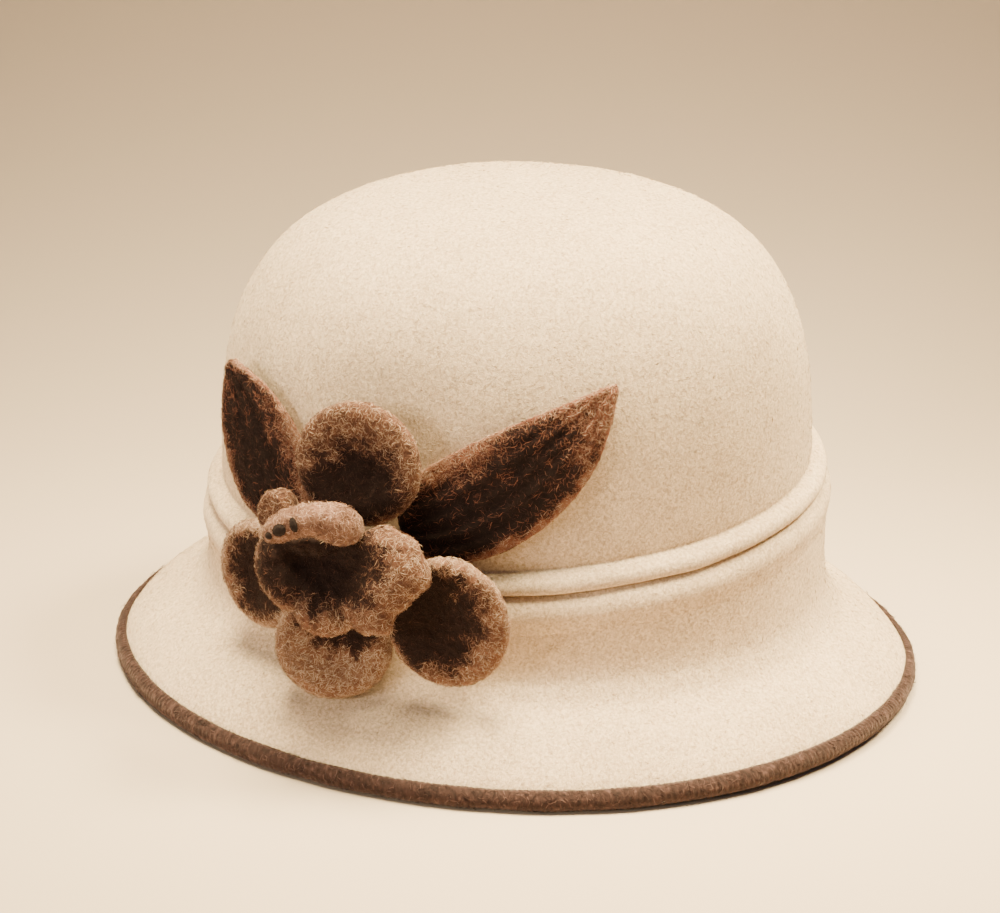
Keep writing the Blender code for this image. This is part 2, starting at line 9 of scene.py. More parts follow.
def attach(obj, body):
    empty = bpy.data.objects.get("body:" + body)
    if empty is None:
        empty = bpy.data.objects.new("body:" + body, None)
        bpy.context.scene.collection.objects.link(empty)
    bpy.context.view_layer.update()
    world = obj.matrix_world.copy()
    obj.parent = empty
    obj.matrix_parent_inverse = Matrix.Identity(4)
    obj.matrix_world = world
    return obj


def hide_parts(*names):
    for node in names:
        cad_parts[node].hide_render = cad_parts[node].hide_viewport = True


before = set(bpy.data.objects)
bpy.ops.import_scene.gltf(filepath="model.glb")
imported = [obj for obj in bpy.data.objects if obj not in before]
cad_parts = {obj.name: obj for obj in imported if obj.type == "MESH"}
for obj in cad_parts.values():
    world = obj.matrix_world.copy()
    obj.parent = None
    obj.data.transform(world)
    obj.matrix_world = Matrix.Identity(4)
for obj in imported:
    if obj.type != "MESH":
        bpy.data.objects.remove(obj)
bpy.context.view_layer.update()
turn = 2.0 * math.pi
up = np.array((0.0, 0.0, 1.0))

# the hat's own sizes in metres: front is -Y, the wearer's left is +X
hat = dict(
    halfLength=0.1002, halfWidth=0.0864, height=0.1621, domeStart=0.0685, squareness=3.0,
    lean=0.0431, felt=0.0027, segments=300, lowerSteps=5, insideSteps=3,
    domeTurns=(0.985, 0.02, 32), insideTurns=(0.03, 0.95, 14),  # shares of a quarter turn, and how many rows
    lumps=((0.0005, 0.035, 1.0), (0.00014, 0.006, 4.0)),  # depth, size and seed
    dentDepth=0.0022, dentWidth=0.030, dentAngle=66.0, dentHeight=0.114,
)
tuck = dict(
    groove=0.0597, height=0.0068, depth=0.0054, puffHeight=0.0074, puffDepth=0.0062,
    riseBack=0.0805, riseRight=0.066, fade=0.112, topRises=(1.25, 1.04), insideOut=0.45,
    waver=0.00035, waverHigh=2.0, waverOut=1.6, waverReach=0.009, waves=((2.4, 3.0), (5.0, 9.0)),
    rollRows=((0.94, 0.42), (0.74, 0.84), (0.46, 1.0), (0.20, 0.95), (0.05, 0.74), (0.0, 0.46)),
    puffRows=((0.07, 0.64), (0.42, 1.00), (0.85, 1.14), (1.30, 1.06), (1.70, 0.96)),
)
brim = dict(
    width=0.0355, trim=0.0030, trimStart=0.1, trimFull=-0.7, bandOut=0.0057, flare=0.0186,
    lift=0.0015, liftAngle=145.0, liftSpread=34.0,
    bandRows=((1.0, 0.64), (1.0, 0.38), (1.18, 0.20)),
    brimRows=((0.26, 1.2), (0.35, 1.0), (0.49, 0.84), (0.66, 0.64), (0.83, 0.375), (0.94, 0.16), (1.0, 0.0)),
)
binding = dict(
    height=0.0074, width=0.0068, outward=0.06, drop=0.40, flatTurn=17.0, clearance=0.0003,
    rings=1400, windings=430, slant=1.5, ribDepth=0.00012, halfSteps=9,
    uneven=0.0003, unevenTurns=9.0, sunk=0.00012, flatGuard=40.0,
    speckSize=0.0012, speckSeed=7.0, tone=0.27, fibreTone=0.30, fibres=9000, lowest=-0.75,
)


def smoothStep(value):
    share = np.clip(value, 0.0, 1.0)
    return share * share * (3.0 - 2.0 * share)


def unit(vectors):
    return vectors / np.maximum(np.linalg.norm(vectors, axis=-1, keepdims=True), 1e-12)


# a smooth line through rows of numbers
def splineRows(rows, steps):
    rows = np.asarray(rows, float)
    padded = np.vstack([2 * rows[0] - rows[1], rows, 2 * rows[-1] - rows[-2]])
    share = np.arange(steps)[:, None] / steps
    parts = []
    for a, b, c, d in zip(padded, padded[1:], padded[2:], padded[3:]):
        parts.append(0.5 * (2 * b + (c - a) * share + (2 * a - 5 * b + 4 * c - d) * share**2
                            + (3 * b - a - 3 * c + d) * share**3))
    return np.vstack(parts + [rows[-1:]])


# the hat's form: a place on it is an angle round from the front, a height and a distance outward
restHeight = binding["height"] * (binding["drop"] + 0.5 * math.cos(math.radians(binding["flatTurn"])))


def tuckShare(height):
    low = smoothStep((height - brim["flare"]) / (tuck["groove"] - tuck["height"] - brim["flare"]))
    top = tuck["groove"] + tuck["height"]
    high = 1.0 - smoothStep((height - top) / (tuck["fade"] - top))
    return np.where(height < tuck["groove"], low, high)


def hatPoints(angle, height, outward, scale=1.0):
    angle, height, outward, scale = np.broadcast_arrays(angle, height, outward, scale)
    fade = brim["trimStart"] - brim["trimFull"]
    trim = brim["trim"] * smoothStep((brim["trimStart"] - np.sin(angle)) / fade)
    outward = outward - trim * np.maximum(0.0, outward / brim["width"]) ** 2
    x = (hat["halfWidth"] * scale + outward) * np.sin(angle)
    y = -(hat["halfLength"] * scale + outward) * np.cos(angle)
    share = tuckShare(height)
    rise = share * (tuck["riseBack"] * y - tuck["riseRight"] * x)
    rise = rise + np.where(height > tuck["groove"], (1.0 - share) * hat["lean"] * y, 0.0)
    aside = (angle - math.radians(brim["liftAngle"]) + math.pi) % turn - math.pi
    lift = brim["lift"] * np.exp(-((aside / math.radians(brim["liftSpread"])) ** 2))
    rise = rise + lift * (1.0 - smoothStep(height / tuck["groove"]))
    return np.stack((x - brim["trim"] / 2, y - hat["lean"] * height, restHeight + height + rise), -1)


def dent(angle, height):
    aside = (angle - math.radians(hat["dentAngle"])) * hat["halfLength"] / hat["dentWidth"]
    above = (height - hat["dentHeight"]) / hat["dentWidth"]
    return -hat["dentDepth"] * np.exp(-aside * aside - above * above)


def domeRows(turns, thickness):
    power = 2.0 / hat["squareness"]
    quarter = np.asarray(turns) * math.pi / 2.0
    scale = np.cos(quarter) ** power
    share = np.sin(quarter) ** power
    height = hat["domeStart"] + (hat["height"] - thickness - hat["domeStart"]) * share
    return np.stack((height, -thickness * scale, scale), -1)


def lowerRows():
    groove = tuck["groove"]
    rows = [(groove + tuck["height"] * rise, 0.0, 1.0) for rise in tuck["topRises"]]
    for rise, out in tuck["rollRows"]:
        rows.append((groove + tuck["height"] * rise, tuck["depth"] * out, 1.0))
    for down, out in tuck["puffRows"]:
        rows.append((groove - tuck["puffHeight"] * down, tuck["puffDepth"] * out, 1.0))
    return rows + bandRows()


def bandRows():
    band = tuck["groove"] - brim["flare"]
    rows = [(brim["flare"] + band * rise, brim["bandOut"] * out, 1.0) for out, rise in brim["bandRows"]]
    return rows + [(brim["flare"] * rise, brim["width"] * out, 1.0) for out, rise in brim["brimRows"]]


def insetRows(rows, thickness):
    rows = np.asarray(rows)
    along = np.zeros((len(rows), 2))
    along[1:-1] = rows[2:, :2] - rows[:-2, :2]
    along[0] = rows[1, :2] - rows[0, :2]
    along[-1] = rows[-1, :2] - rows[-2, :2]
    along = unit(along)
    inset = rows.copy()
    inset[:, 0] -= along[:, 1] * thickness
    inset[:, 1] += along[:, 0] * thickness
    return inset


# where the hat's outside lies, for the flower that sits on it
def outwardAt(height):
    rows = np.asarray(lowerRows())[::-1]
    return np.interp(height, rows[:, 0], rows[:, 1], right=0.0)


def isInsideHat(points):
    x, z = points[..., 0] + brim["trim"] / 2, points[..., 2]
    height = z - restHeight
    for _ in range(4):
        share = tuckShare(height)
        y = points[..., 1] + hat["lean"] * height
        rise = share * (tuck["riseBack"] * y - tuck["riseRight"] * x)
        rise = rise + np.where(height > tuck["groove"], (1.0 - share) * hat["lean"] * y, 0.0)
        height = z - restHeight - rise
    above = np.clip((height - hat["domeStart"]) / (hat["height"] - hat["domeStart"]), 0.0, 1.0)
    scale = np.maximum(1.0 - above ** hat["squareness"], 0.0) ** (1.0 / hat["squareness"])
    y = points[..., 1] + hat["lean"] * height
    angle = np.arctan2(x / hat["halfWidth"], -y / hat["halfLength"])
    outward = outwardAt(height) + dent(angle, height)
    across = x / np.maximum(hat["halfWidth"] * scale + outward, 1e-6)
    along = y / np.maximum(hat["halfLength"] * scale + outward, 1e-6)
    return (across * across + along * along < 1.0) & (above < 1.0)


# the flower's place, and its pads at shares of a petal's radius or of the lip's size
flower = dict(
    angle=59.2, height=0.0586, standoff=0.005, petalRadius=0.0205, petalThickness=0.0076,
    petalRoot=0.0032, lipSize=0.0350, lipThickness=0.0080, lipRoot=0.0042, lobeThickness=0.0090,
    columnRadius=0.0060, leafLength=0.0776, leafThickness=0.0036,
)
petals = dict(
    petalTop=dict(
        node="petal_top", across=0.180, up=1.800, out=0.205, width=1.039, height=1.000,
        leanAcross=0.12, leanUp=0.10, darkAcross=0.02, darkUp=-0.52, darkReach=0.78,
        face=0.74, rim=0.80, rimStart=0.74, ringStart=0.62,
    ),
    petalRight=dict(
        node="petal_right", across=1.878, up=-0.483, out=0.244, width=1.000, height=1.102,
        leanAcross=0.20, leanUp=-0.05, darkAcross=-0.36, darkUp=0.12, darkReach=0.90,
        face=0.84, rim=0.98, rimStart=0.74, ringStart=0.70,
    ),
    # the dark patch at this petal's top, under the lip, is partly dark wool streaks and partly painted shade
    # cast by the lip
    petalBottom=dict(
        node="petal_bottom", across=0.0, up=-1.220, out=0.507, width=0.951, height=0.868,
        leanAcross=0.30, leanUp=0.30, darkAcross=0.12, darkUp=0.62, darkReach=0.66,
        face=0.88, rim=1.04, rimStart=0.66, ringStart=0.20,
    ),
    petalLeft=dict(
        node="petal_left", across=-1.532, up=-0.512, out=0.098, width=0.927, height=0.888,
        leanAcross=-0.30, leanUp=0.0, darkAcross=0.30, darkUp=0.10, darkReach=0.85,
        face=0.90, rim=1.45, rimStart=0.62, ringStart=0.55,
    ),
)
pad = dict(
    segments=72, steps=4, middle=0.26, fibres=6200, seed=11.0,
    front=((0.05, 0.26), (0.30, 0.30), (0.55, 0.42), (0.76, 0.50), (0.90, 0.42), (0.98, 0.20)),
    back=((0.98, -0.20), (0.84, -0.44), (0.52, -0.50), (0.24, -0.50)),
    stubShares=(0.35, 0.7, 1.0), stubReach=(0.5, 1.0), stubSegments=12,
)
lip = dict(
    across=0.180, up=0.337, out=1.098, leanAcross=0.10, leanUp=0.30, middle=-0.06,
    segments=120, steps=4, shift=(-0.0075, 0.0015), fibres=10500, seed=21.0,
    puff=1.05, ballPlace=8.0, ballSpread=36.0, ballPuff=0.45,
    notches=((-121, 0.42, 11), (-58, 0.50, 11), (-82, 0.15, 7), (-23, 0.18, 8), (75, 0.3, 30)),
    reach=(  # direction in degrees, and how far the lip's edge is
        (-172, 0.714), (-156, 0.677), (-139, 0.614), (-121, 0.537), (-103, 0.600), (-82, 0.620),
        (-66, 0.600), (-58, 0.571), (-46, 0.714), (-34, 0.829), (-23, 0.771), (-10, 0.863),
        (6, 1.000), (24, 0.920), (41, 0.749), (60, 0.371), (96, 0.286), (140, 0.414), (165, 0.714),
    ),
    front=((0.05, -0.06), (0.22, 0.02), (0.45, 0.36), (0.66, 0.56), (0.82, 0.54), (0.94, 0.32), (1.0, 0.0)),
    back=((0.93, -0.34), (0.70, -0.48), (0.35, -0.52)),
    darkAcross=-0.08, darkUp=0.10, darkReach=0.43, darkStretch=1.35,
    face=0.76, rim=0.86, rimStart=0.82, ringStart=0.84,
)
lobe = dict(
    across=-0.649, up=0.351, out=-0.209, width=0.177, height=0.206, leanAcross=-0.1, leanUp=0.1,
    segments=40, steps=3, start=((0.10, 0.50), (0.45, 0.49)), end=((0.4, -0.49),),
    tone=0.62, fibres=1100, seed=31.0,
)
column = dict(
    segments=40, steps=4, tone=0.36, mottle=0.3, mottleSize=0.006, fibres=2300, seed=41.0,
    foot=(0.6, 0.5, 0.75), end=(0.62, 0.42, 0.6),  # end ring's share, its distance and the cap's, in radii
    rows=(  # across, up, out and radius
        (0.177, 0.380, -0.016, 0.55), (0.184, 0.432, 0.010, 1.00), (0.130, 0.515, 0.092, 1.08),
        (0.020, 0.550, 0.172, 0.94), (-0.110, 0.545, 0.237, 0.86), (-0.245, 0.500, 0.291, 0.80),
        (-0.345, 0.430, 0.322, 0.70), (-0.430, 0.365, 0.340, 0.48),
    ),
    spots=("spot_inner", "spot_middle", "spot_outer"),
)
leaves = dict(
    leafRight=dict(
        node="leaf_right", base=(0.805, 0.707), bend=(0.486, 0.180), tip=(0.744, 0.669), halfWidth=0.231,
        follow=0.86, standoff=0.11, tipShare=0.58, ridges=5.5, brightSide=1.0,
    ),
    leafLeft=dict(
        node="leaf_left", base=(-1.366, 0.293), bend=(-0.135, 0.348), tip=(-0.358, 0.622), halfWidth=0.228,
        follow=0.50, standoff=0.33, tipShare=0.78, ridges=4.5, brightSide=-1.0,
    ),
)
leafShape = dict(
    widths=((0.0, 0.50), (0.08, 0.74), (0.18, 0.93), (0.30, 1.0), (0.42, 1.0), (0.53, 0.94), (0.63, 0.85),
            (0.73, 0.71), (0.83, 0.51), (0.92, 0.28), (0.98, 0.10)),
    section=((-1.0, 0.0), (-0.86, 0.40), (-0.45, 0.50), (0.0, 0.40), (0.45, 0.50), (0.86, 0.40),
             (1.0, 0.0), (0.80, -0.46), (0.0, -0.5), (-0.80, -0.46)),
    steps=5, sectionSteps=4, ahead=0.02, spinePoints=60, tipWidth=0.02,
    ridge=0.11, flat=0.05, ridgeFrom=0.2, fade=0.25,
)

flowerAngle = math.radians(flower["angle"])
flowerOrigin = hatPoints(flowerAngle, flower["height"], flower["standoff"])
flowerOrigin[2] = restHeight + flower["height"]
flowerOut = unit(np.array((
    math.sin(flowerAngle) / hat["halfWidth"], -math.cos(flowerAngle) / hat["halfLength"], 0.0)))
flowerSide = np.array((-flowerOut[1], flowerOut[0], 0.0))


def onFlower(across, high, out):
    across, high, out = (np.asarray(v, float)[..., None] for v in (across, high, out))
    return flowerOrigin + flowerSide * across + up * high + flowerOut * out


# across, up and out of points
def inFlower(points):
    rest = points - flowerOrigin
    return rest @ flowerSide, rest @ up, rest @ flowerOut


# where the hat's outside is, found by halving the gap
def surfaceOut(across, high):
    across, high = np.broadcast_arrays(np.asarray(across, float), np.asarray(high, float))
    near = np.full(across.shape, hat["halfWidth"] * 0.5)
    far = np.full(across.shape, -hat["halfWidth"])
    for _ in range(22):
        middle = (near + far) / 2.0
        inside = isInsideHat(onFlower(across, high, middle))
        far = np.where(inside, middle, far)
        near = np.where(inside, near, middle)
    return near


def padAxes(piece):
    normal = unit(flowerSide * piece["leanAcross"] + up * piece["leanUp"] + flowerOut)
    high = unit(up - normal * (up @ normal))
    return np.cross(high, normal), high, normal


def padCentre(piece):
    radius = flower["petalRadius"]
    return onFlower(piece["across"] * radius, piece["up"] * radius, piece["out"] * radius)


def onLip(across, high, out):
    across, high, out = (np.asarray(v, float)[..., None] * flower["lipSize"] for v in (across, high, out))
    return padCentre(lip) + flowerSide * across + up * high + flowerOut * out


# meshes
def meshFrom(name, points, faceSets):
    mesh = bpy.data.meshes.new(name)
    corners = np.concatenate([f.ravel() for f in faceSets]).astype(np.int32)
    sizes = np.concatenate([np.full(len(f), f.shape[1]) for f in faceSets]).astype(np.int32)
    mesh.vertices.add(len(points))
    mesh.vertices.foreach_set("co", np.asarray(points, np.float32).ravel())
    mesh.loops.add(len(corners))
    mesh.loops.foreach_set("vertex_index", corners)
    mesh.polygons.add(len(sizes))
    mesh.polygons.foreach_set("loop_start", (np.cumsum(sizes) - sizes).astype(np.int32))
    mesh.polygons.foreach_set("use_smooth", np.ones(len(sizes), bool))
    mesh.update(calc_edges=True)
    thing = bpy.data.objects.new(name, mesh)
    bpy.context.scene.collection.objects.link(thing)
    return thing


# a closed skin through rings of points, capped by a point at each end or run back to the first ring
def ringSkin(name, rings, first=None, last=None):
    rings = np.asarray(rings)
    rows, count = rings.shape[:2]
    here = np.arange(count)
    after = (here + 1) % count
    lastRow = rows if first is None else rows - 1
    quads = []
    for row in range(lastRow):
        below = (row + 1) % rows
        corners = (row * count + here, row * count + after, below * count + after, below * count + here)
        quads.append(np.stack(corners, 1))
    points, faces = rings.reshape(-1, 3), [np.vstack(quads)]
    if first is not None:
        top, bottom = len(points), len(points) + 1
        points = np.vstack((points, first, last))
        end = (rows - 1) * count
        firstCap = np.stack((np.full(count, top), after, here), 1)
        lastCap = np.stack((np.full(count, bottom), end + here, end + after), 1)
        faces.append(np.vstack((firstCap, lastCap)))
    return faceOutward(meshFrom(name, points, faces))


def signedVolume(mesh):
    mesh.calc_loop_triangles()
    points = vertexArray(mesh)
    corners = np.zeros(len(mesh.loop_triangles) * 3, np.int32)
    mesh.loop_triangles.foreach_get("vertices", corners)
    a, b, c = (points[corners.reshape(-1, 3)[:, i]] for i in range(3))
    return float(np.einsum("ij,ij->i", a, np.cross(b, c)).sum() / 6.0)


def faceOutward(thing):
    if signedVolume(thing.data) < 0.0:
        thing.data.flip_normals()
    return thing


def vertexArray(mesh):
    points = np.zeros(len(mesh.vertices) * 3, np.float32)
    mesh.vertices.foreach_get("co", points)
    return points.reshape(-1, 3).astype(float)


def normalArray(mesh):
    normals = np.zeros(len(mesh.vertices) * 3, np.float32)
    mesh.vertex_normals.foreach_get("vector", normals)
    return normals.reshape(-1, 3).astype(float)


def triangleArray(mesh):
    mesh.calc_loop_triangles()
    corners = np.zeros(len(mesh.loop_triangles) * 3, np.int32)
    mesh.loop_triangles.foreach_get("vertices", corners)
    return corners.reshape(-1, 3)


def noiseAt(points, size, seed=0.0):
    offset = Vector((seed, seed * 1.7, seed * 0.6))
    return np.array([noise.noise(Vector(p) / size + offset) for p in points])


# noise that closes on itself round the hat or a pad
def noiseRound(angles, turns, seed):
    return np.array([noise.noise((math.cos(a) * turns, math.sin(a) * turns, seed)) for a in angles])


# moves the points along their normals by noise; each amount is a depth, a size and a seed
def roughen(thing, amounts):
    mesh = thing.data
    points, normals = vertexArray(mesh), normalArray(mesh)
    move = sum(depth * noiseAt(points, size, seed) for depth, size, seed in amounts)
    points += normals * np.asarray(move)[:, None]
    mesh.vertices.foreach_set("co", points.astype(np.float32).ravel())
    mesh.update()


def setValue(thing, name, values):
    layer = thing.data.attributes.get(name) or thing.data.attributes.new(name, "FLOAT", "POINT")
    layer.data.foreach_set("value", np.asarray(values, np.float32))


fibreShape = dict(
    widths=(0.6, 1.25), profile=((0.0, 0.25, 0.7, 1.0), (0.55, 1.0, 0.85, 0.12)), rounding=0.7,
    standPower=3.0, standRise=1.5, start=(0.31, 0.52, 0.79),
)


# fibres: curled ribbons that grow on a piece and lie along it
def growFibres(name, base, count, look, seed, tone=None, weight=None, grain=None):
    rng = np.random.default_rng(seed)
    points, triangles = vertexArray(base.data), triangleArray(base.data)
    tree = BVHTree.FromPolygons(points.tolist(), triangles.tolist())
    a, b, c = (points[triangles[:, i]] for i in range(3))
    cross = np.cross(b - a, c - a)
    share = np.linalg.norm(cross, axis=1)
    if weight is not None:
        share = share * weight((a + b + c) / 3.0, unit(cross))
    pick = rng.choice(len(triangles), count, p=share / share.sum())
    s, t = rng.random(count), rng.random(count)
    over = s + t > 1.0
    s, t = np.where(over, 1 - s, s), np.where(over, 1 - t, t)
    place = a[pick] + (b - a)[pick] * s[:, None] + (c - a)[pick] * t[:, None]
    normal = unit(cross[pick])
    heading = rng.uniform(0.0, turn, count)
    first = unit(np.cross(normal, np.array(fibreShape["start"])))
    if grain is not None:
        along = grain(place)
        first = unit(along - normal * np.einsum("ij,ij->i", along, normal)[:, None])
        heading = rng.normal(0.0, look["stray"], count) + np.where(rng.random(count) < 0.5, 0.0, math.pi)
    second = np.cross(normal, first)
    direction = first * np.cos(heading)[:, None] + second * np.sin(heading)[:, None]
    steps = look["steps"]
    length = rng.uniform(*look["length"], count) / steps
    bend = rng.normal(0.0, look["curl"], count) / steps
    loft = look["loft"] * rng.random(count)
    stand = look["stand"] * rng.random(count) ** look.get("standPower", fibreShape["standPower"])
    width = look["width"] * rng.uniform(*fibreShape["widths"], count) / 2.0
    roll = rng.normal(0.0, look["roll"], count)
    profile = np.interp(np.arange(steps + 1) / steps, *fibreShape["profile"])
    left, right, shade = [], [], []
    spot = place
    for step in range(steps + 1):
        share = step / steps
        height = -look["sink"] * (1 - share) + loft * math.sin(math.pi * share)
        height = height + stand * share ** fibreShape["standRise"]
        side = np.cross(normal, direction)
        lay = side * np.cos(roll)[:, None] + normal * np.sin(roll)[:, None]
        centre = spot + normal * height[:, None]
        half = (width * profile[step])[:, None]
        left.append(centre - lay * half)
        right.append(centre + lay * half)
        tilt = lay * fibreShape["rounding"]
        shade.append((unit(normal - tilt), unit(normal + tilt)))
        if step == steps:
            break
        angle = bend + rng.normal(0.0, look["wiggle"], count)
        direction = direction * np.cos(angle)[:, None] + side * np.sin(angle)[:, None]
        ahead = spot + direction * length[:, None]
        found = [tree.find_nearest(p) for p in ahead.tolist()]
        spot = np.array([f[0] for f in found])
        normal = np.array([f[1] for f in found])
        direction = unit(direction - normal * np.einsum("ij,ij->i", direction, normal)[:, None])
    rows = np.stack([np.stack((l, r), 1) for l, r in zip(left, right)], 1)
    rows[..., 2] = np.maximum(rows[..., 2], 0.0)  # no fibre dips under the floor
    normals = np.stack([np.stack(pair, 1) for pair in shade], 1)
    per = (steps + 1) * 2
    start = np.arange(count)[:, None] * per
    quads = [start + np.array((2 * k + 1, 2 * k, 2 * k + 2, 2 * k + 3)) for k in range(steps)]
    thing = meshFrom(name, rows.reshape(-1, 3), [np.vstack(quads)])
    thing.data.normals_split_custom_set_from_vertices(normals.reshape(-1, 3).tolist())
    setValue(thing, "strand", np.repeat(rng.random(count), per))
    if tone is not None:
        setValue(thing, "rim", np.repeat(tone(place), per))
    return thing


# node helpers
def addNode(tree, kind, **settings):
    node = tree.nodes.new(kind)
    for key, value in settings.items():
        setattr(node, key, value)
    return node


def mathNode(tree, operation, *values):
    node = addNode(tree, "ShaderNodeMath", operation=operation)
    for socket, value in zip(node.inputs, values):
        if isinstance(value, (int, float)):
            socket.default_value = value
        else:
            tree.links.new(value, socket)
    return node.outputs[0]


def noiseNode(tree, vector, scale, detail, roughness, distortion=0.0, kind="FBM"):
    node = addNode(tree, "ShaderNodeTexNoise", noise_type=kind)
    tree.links.new(vector, node.inputs["Vector"])
    values = dict(Scale=scale, Detail=detail, Roughness=roughness, Distortion=distortion)
    for key, value in values.items():
        if isinstance(value, (int, float)):
            node.inputs[key].default_value = value
        else:
            tree.links.new(value, node.inputs[key])
    return node.outputs["Factor"] if "Factor" in node.outputs else node.outputs["Fac"]


def rampNode(tree, factor, stops):
    node = addNode(tree, "ShaderNodeValToRGB")
    ramp = node.color_ramp
    while len(ramp.elements) < len(stops):
        ramp.elements.new(0.5)
    for element, (place, colour) in zip(ramp.elements, stops):
        element.position = place
        element.color = (*colour, 1.0)
    tree.links.new(factor, node.inputs[0])
    return node.outputs["Color"]


def newMaterial(name):
    material = bpy.data.materials.new(name)
    material.use_nodes = True
    tree = material.node_tree
    return material, tree, tree.nodes["Principled BSDF"]


strandLook = dict(
    detail=3.0, roughness=0.62, clumpDetail=4.0, clumpRoughness=0.6, clumpTangle=0.6,
    strandShare=0.45, strandHeight=0.6, clumpHeight=0.4,
)


# matted wool: fine strands that cross, and softer clumps
def makeStrandGroup():
    group = bpy.data.node_groups.new("mattedStrands", "ShaderNodeTree")
    face = group.interface
    face.new_socket("Vector", in_out="INPUT", socket_type="NodeSocketVector")
    for name, value in (("Strand Scale", 900.0), ("Clump Scale", 180.0), ("Tangle", 2.5)):
        socket = face.new_socket(name, in_out="INPUT", socket_type="NodeSocketFloat")
        socket.default_value = value
    for name in ("Strands", "Clumps", "Height"):
        face.new_socket(name, in_out="OUTPUT", socket_type="NodeSocketFloat")
    source = group.nodes.new("NodeGroupInput").outputs
    sink = group.nodes.new("NodeGroupOutput").inputs
    vector = source["Vector"]
    strands = noiseNode(group, vector, source["Strand Scale"], strandLook["detail"], strandLook["roughness"],
                        source["Tangle"], "RIDGED_MULTIFRACTAL")
    clumps = noiseNode(group, vector, source["Clump Scale"], strandLook["clumpDetail"],
                       strandLook["clumpRoughness"], strandLook["clumpTangle"])
    strandShare = mathNode(group, "MULTIPLY", strands, strandLook["strandShare"])
    strandHeight = mathNode(group, "MULTIPLY", strandShare, strandLook["strandHeight"])
    clumpHeight = mathNode(group, "MULTIPLY", clumps, strandLook["clumpHeight"])
    height = mathNode(group, "ADD", strandHeight, clumpHeight)
    group.links.new(strandShare, sink["Strands"])
    group.links.new(clumps, sink["Clumps"])
    group.links.new(height, sink["Height"])
    return group


strandGroup = makeStrandGroup()


def placeStrands(tree, look):
    node = addNode(tree, "ShaderNodeGroup", node_tree=strandGroup)
    place = addNode(tree, "ShaderNodeTexCoord").outputs["Object"]
    tree.links.new(place, node.inputs["Vector"])
    for key, value in (("Strand Scale", "strandScale"), ("Clump Scale", "clumpScale"), ("Tangle", "tangle")):
        node.inputs[key].default_value = look[value]
    return node.outputs


def bumpInto(tree, shader, height, strength, distance):
    bump = addNode(tree, "ShaderNodeBump")
    bump.inputs["Strength"].default_value = strength
    bump.inputs["Distance"].default_value = distance
    tree.links.new(height, bump.inputs["Height"])
    tree.links.new(bump.outputs["Normal"], shader.inputs["Normal"])


softLook = dict(sheenRoughness=0.5, specular=0.12)


def setSoft(shader, look):
    shader.inputs["Sheen Weight"].default_value = look["sheen"]
    shader.inputs["Sheen Roughness"].default_value = softLook["sheenRoughness"]
    shader.inputs["Sheen Tint"].default_value = (*look["tint"], 1.0)
    shader.inputs["Specular IOR Level"].default_value = softLook["specular"]


# a tone, made lighter and darker by a value that runs about a half
def spreadTone(tree, tone, value, spread):
    centred = mathNode(tree, "SUBTRACT", value, 0.5)
    return mathNode(tree, "ADD", tone, mathNode(tree, "MULTIPLY", centred, spread))


def roughBy(tree, shader, value, spread, least):
    rough = mathNode(tree, "ADD", mathNode(tree, "MULTIPLY", value, spread), least)
    tree.links.new(rough, shader.inputs["Roughness"])


creamLook = dict(
    light=(0.90, 0.735, 0.56), middle=(0.745, 0.592, 0.44), shade=(0.38, 0.285, 0.20),
    sheen=0.20, tint=(1.0, 0.93, 0.84), roughness=0.82, roughSpread=0.15, bump=0.85, depth=0.0006,
    strandScale=1500.0, clumpScale=950.0, tangle=1.5, clumps=1.2, strands=0.7, darker=0.39,
    strandSpread=0.85, broadSpread=0.3, broadScale=22.0, broadDetail=3.0, broadRoughness=0.6,
    subsurface=0.12, subsurfaceRadius=(1.0, 0.6, 0.35), subsurfaceScale=0.0015,
)


def makeCreamFelt(name, look, bump=True):
    material, tree, shader = newMaterial(name)
    pattern = placeStrands(tree, look)
    place = addNode(tree, "ShaderNodeTexCoord").outputs["Object"]
    broad = noiseNode(tree, place, look["broadScale"], look["broadDetail"], look["broadRoughness"])
    strand = addNode(tree, "ShaderNodeAttribute", attribute_name="strand").outputs["Fac"]
    clumps = mathNode(tree, "MULTIPLY", pattern["Clumps"], look["clumps"])
    tone = mathNode(tree, "ADD", clumps, mathNode(tree, "MULTIPLY", pattern["Strands"], look["strands"]))
    tone = spreadTone(tree, tone, strand, look["strandSpread"])
    tone = spreadTone(tree, tone, broad, look["broadSpread"])
    tone = mathNode(tree, "SUBTRACT", tone, look["darker"])
    colour = rampNode(tree, tone, ((0.0, look["shade"]), (0.50, look["middle"]), (1.0, look["light"])))
    tree.links.new(colour, shader.inputs["Base Color"])
    roughBy(tree, shader, pattern["Clumps"], look["roughSpread"], look["roughness"])
    setSoft(shader, look)
    if bump:
        bumpInto(tree, shader, pattern["Height"], look["bump"], look["depth"])
        shader.inputs["Subsurface Weight"].default_value = look["subsurface"]
        shader.inputs["Subsurface Radius"].default_value = look["subsurfaceRadius"]
        shader.inputs["Subsurface Scale"].default_value = look["subsurfaceScale"]
    return material


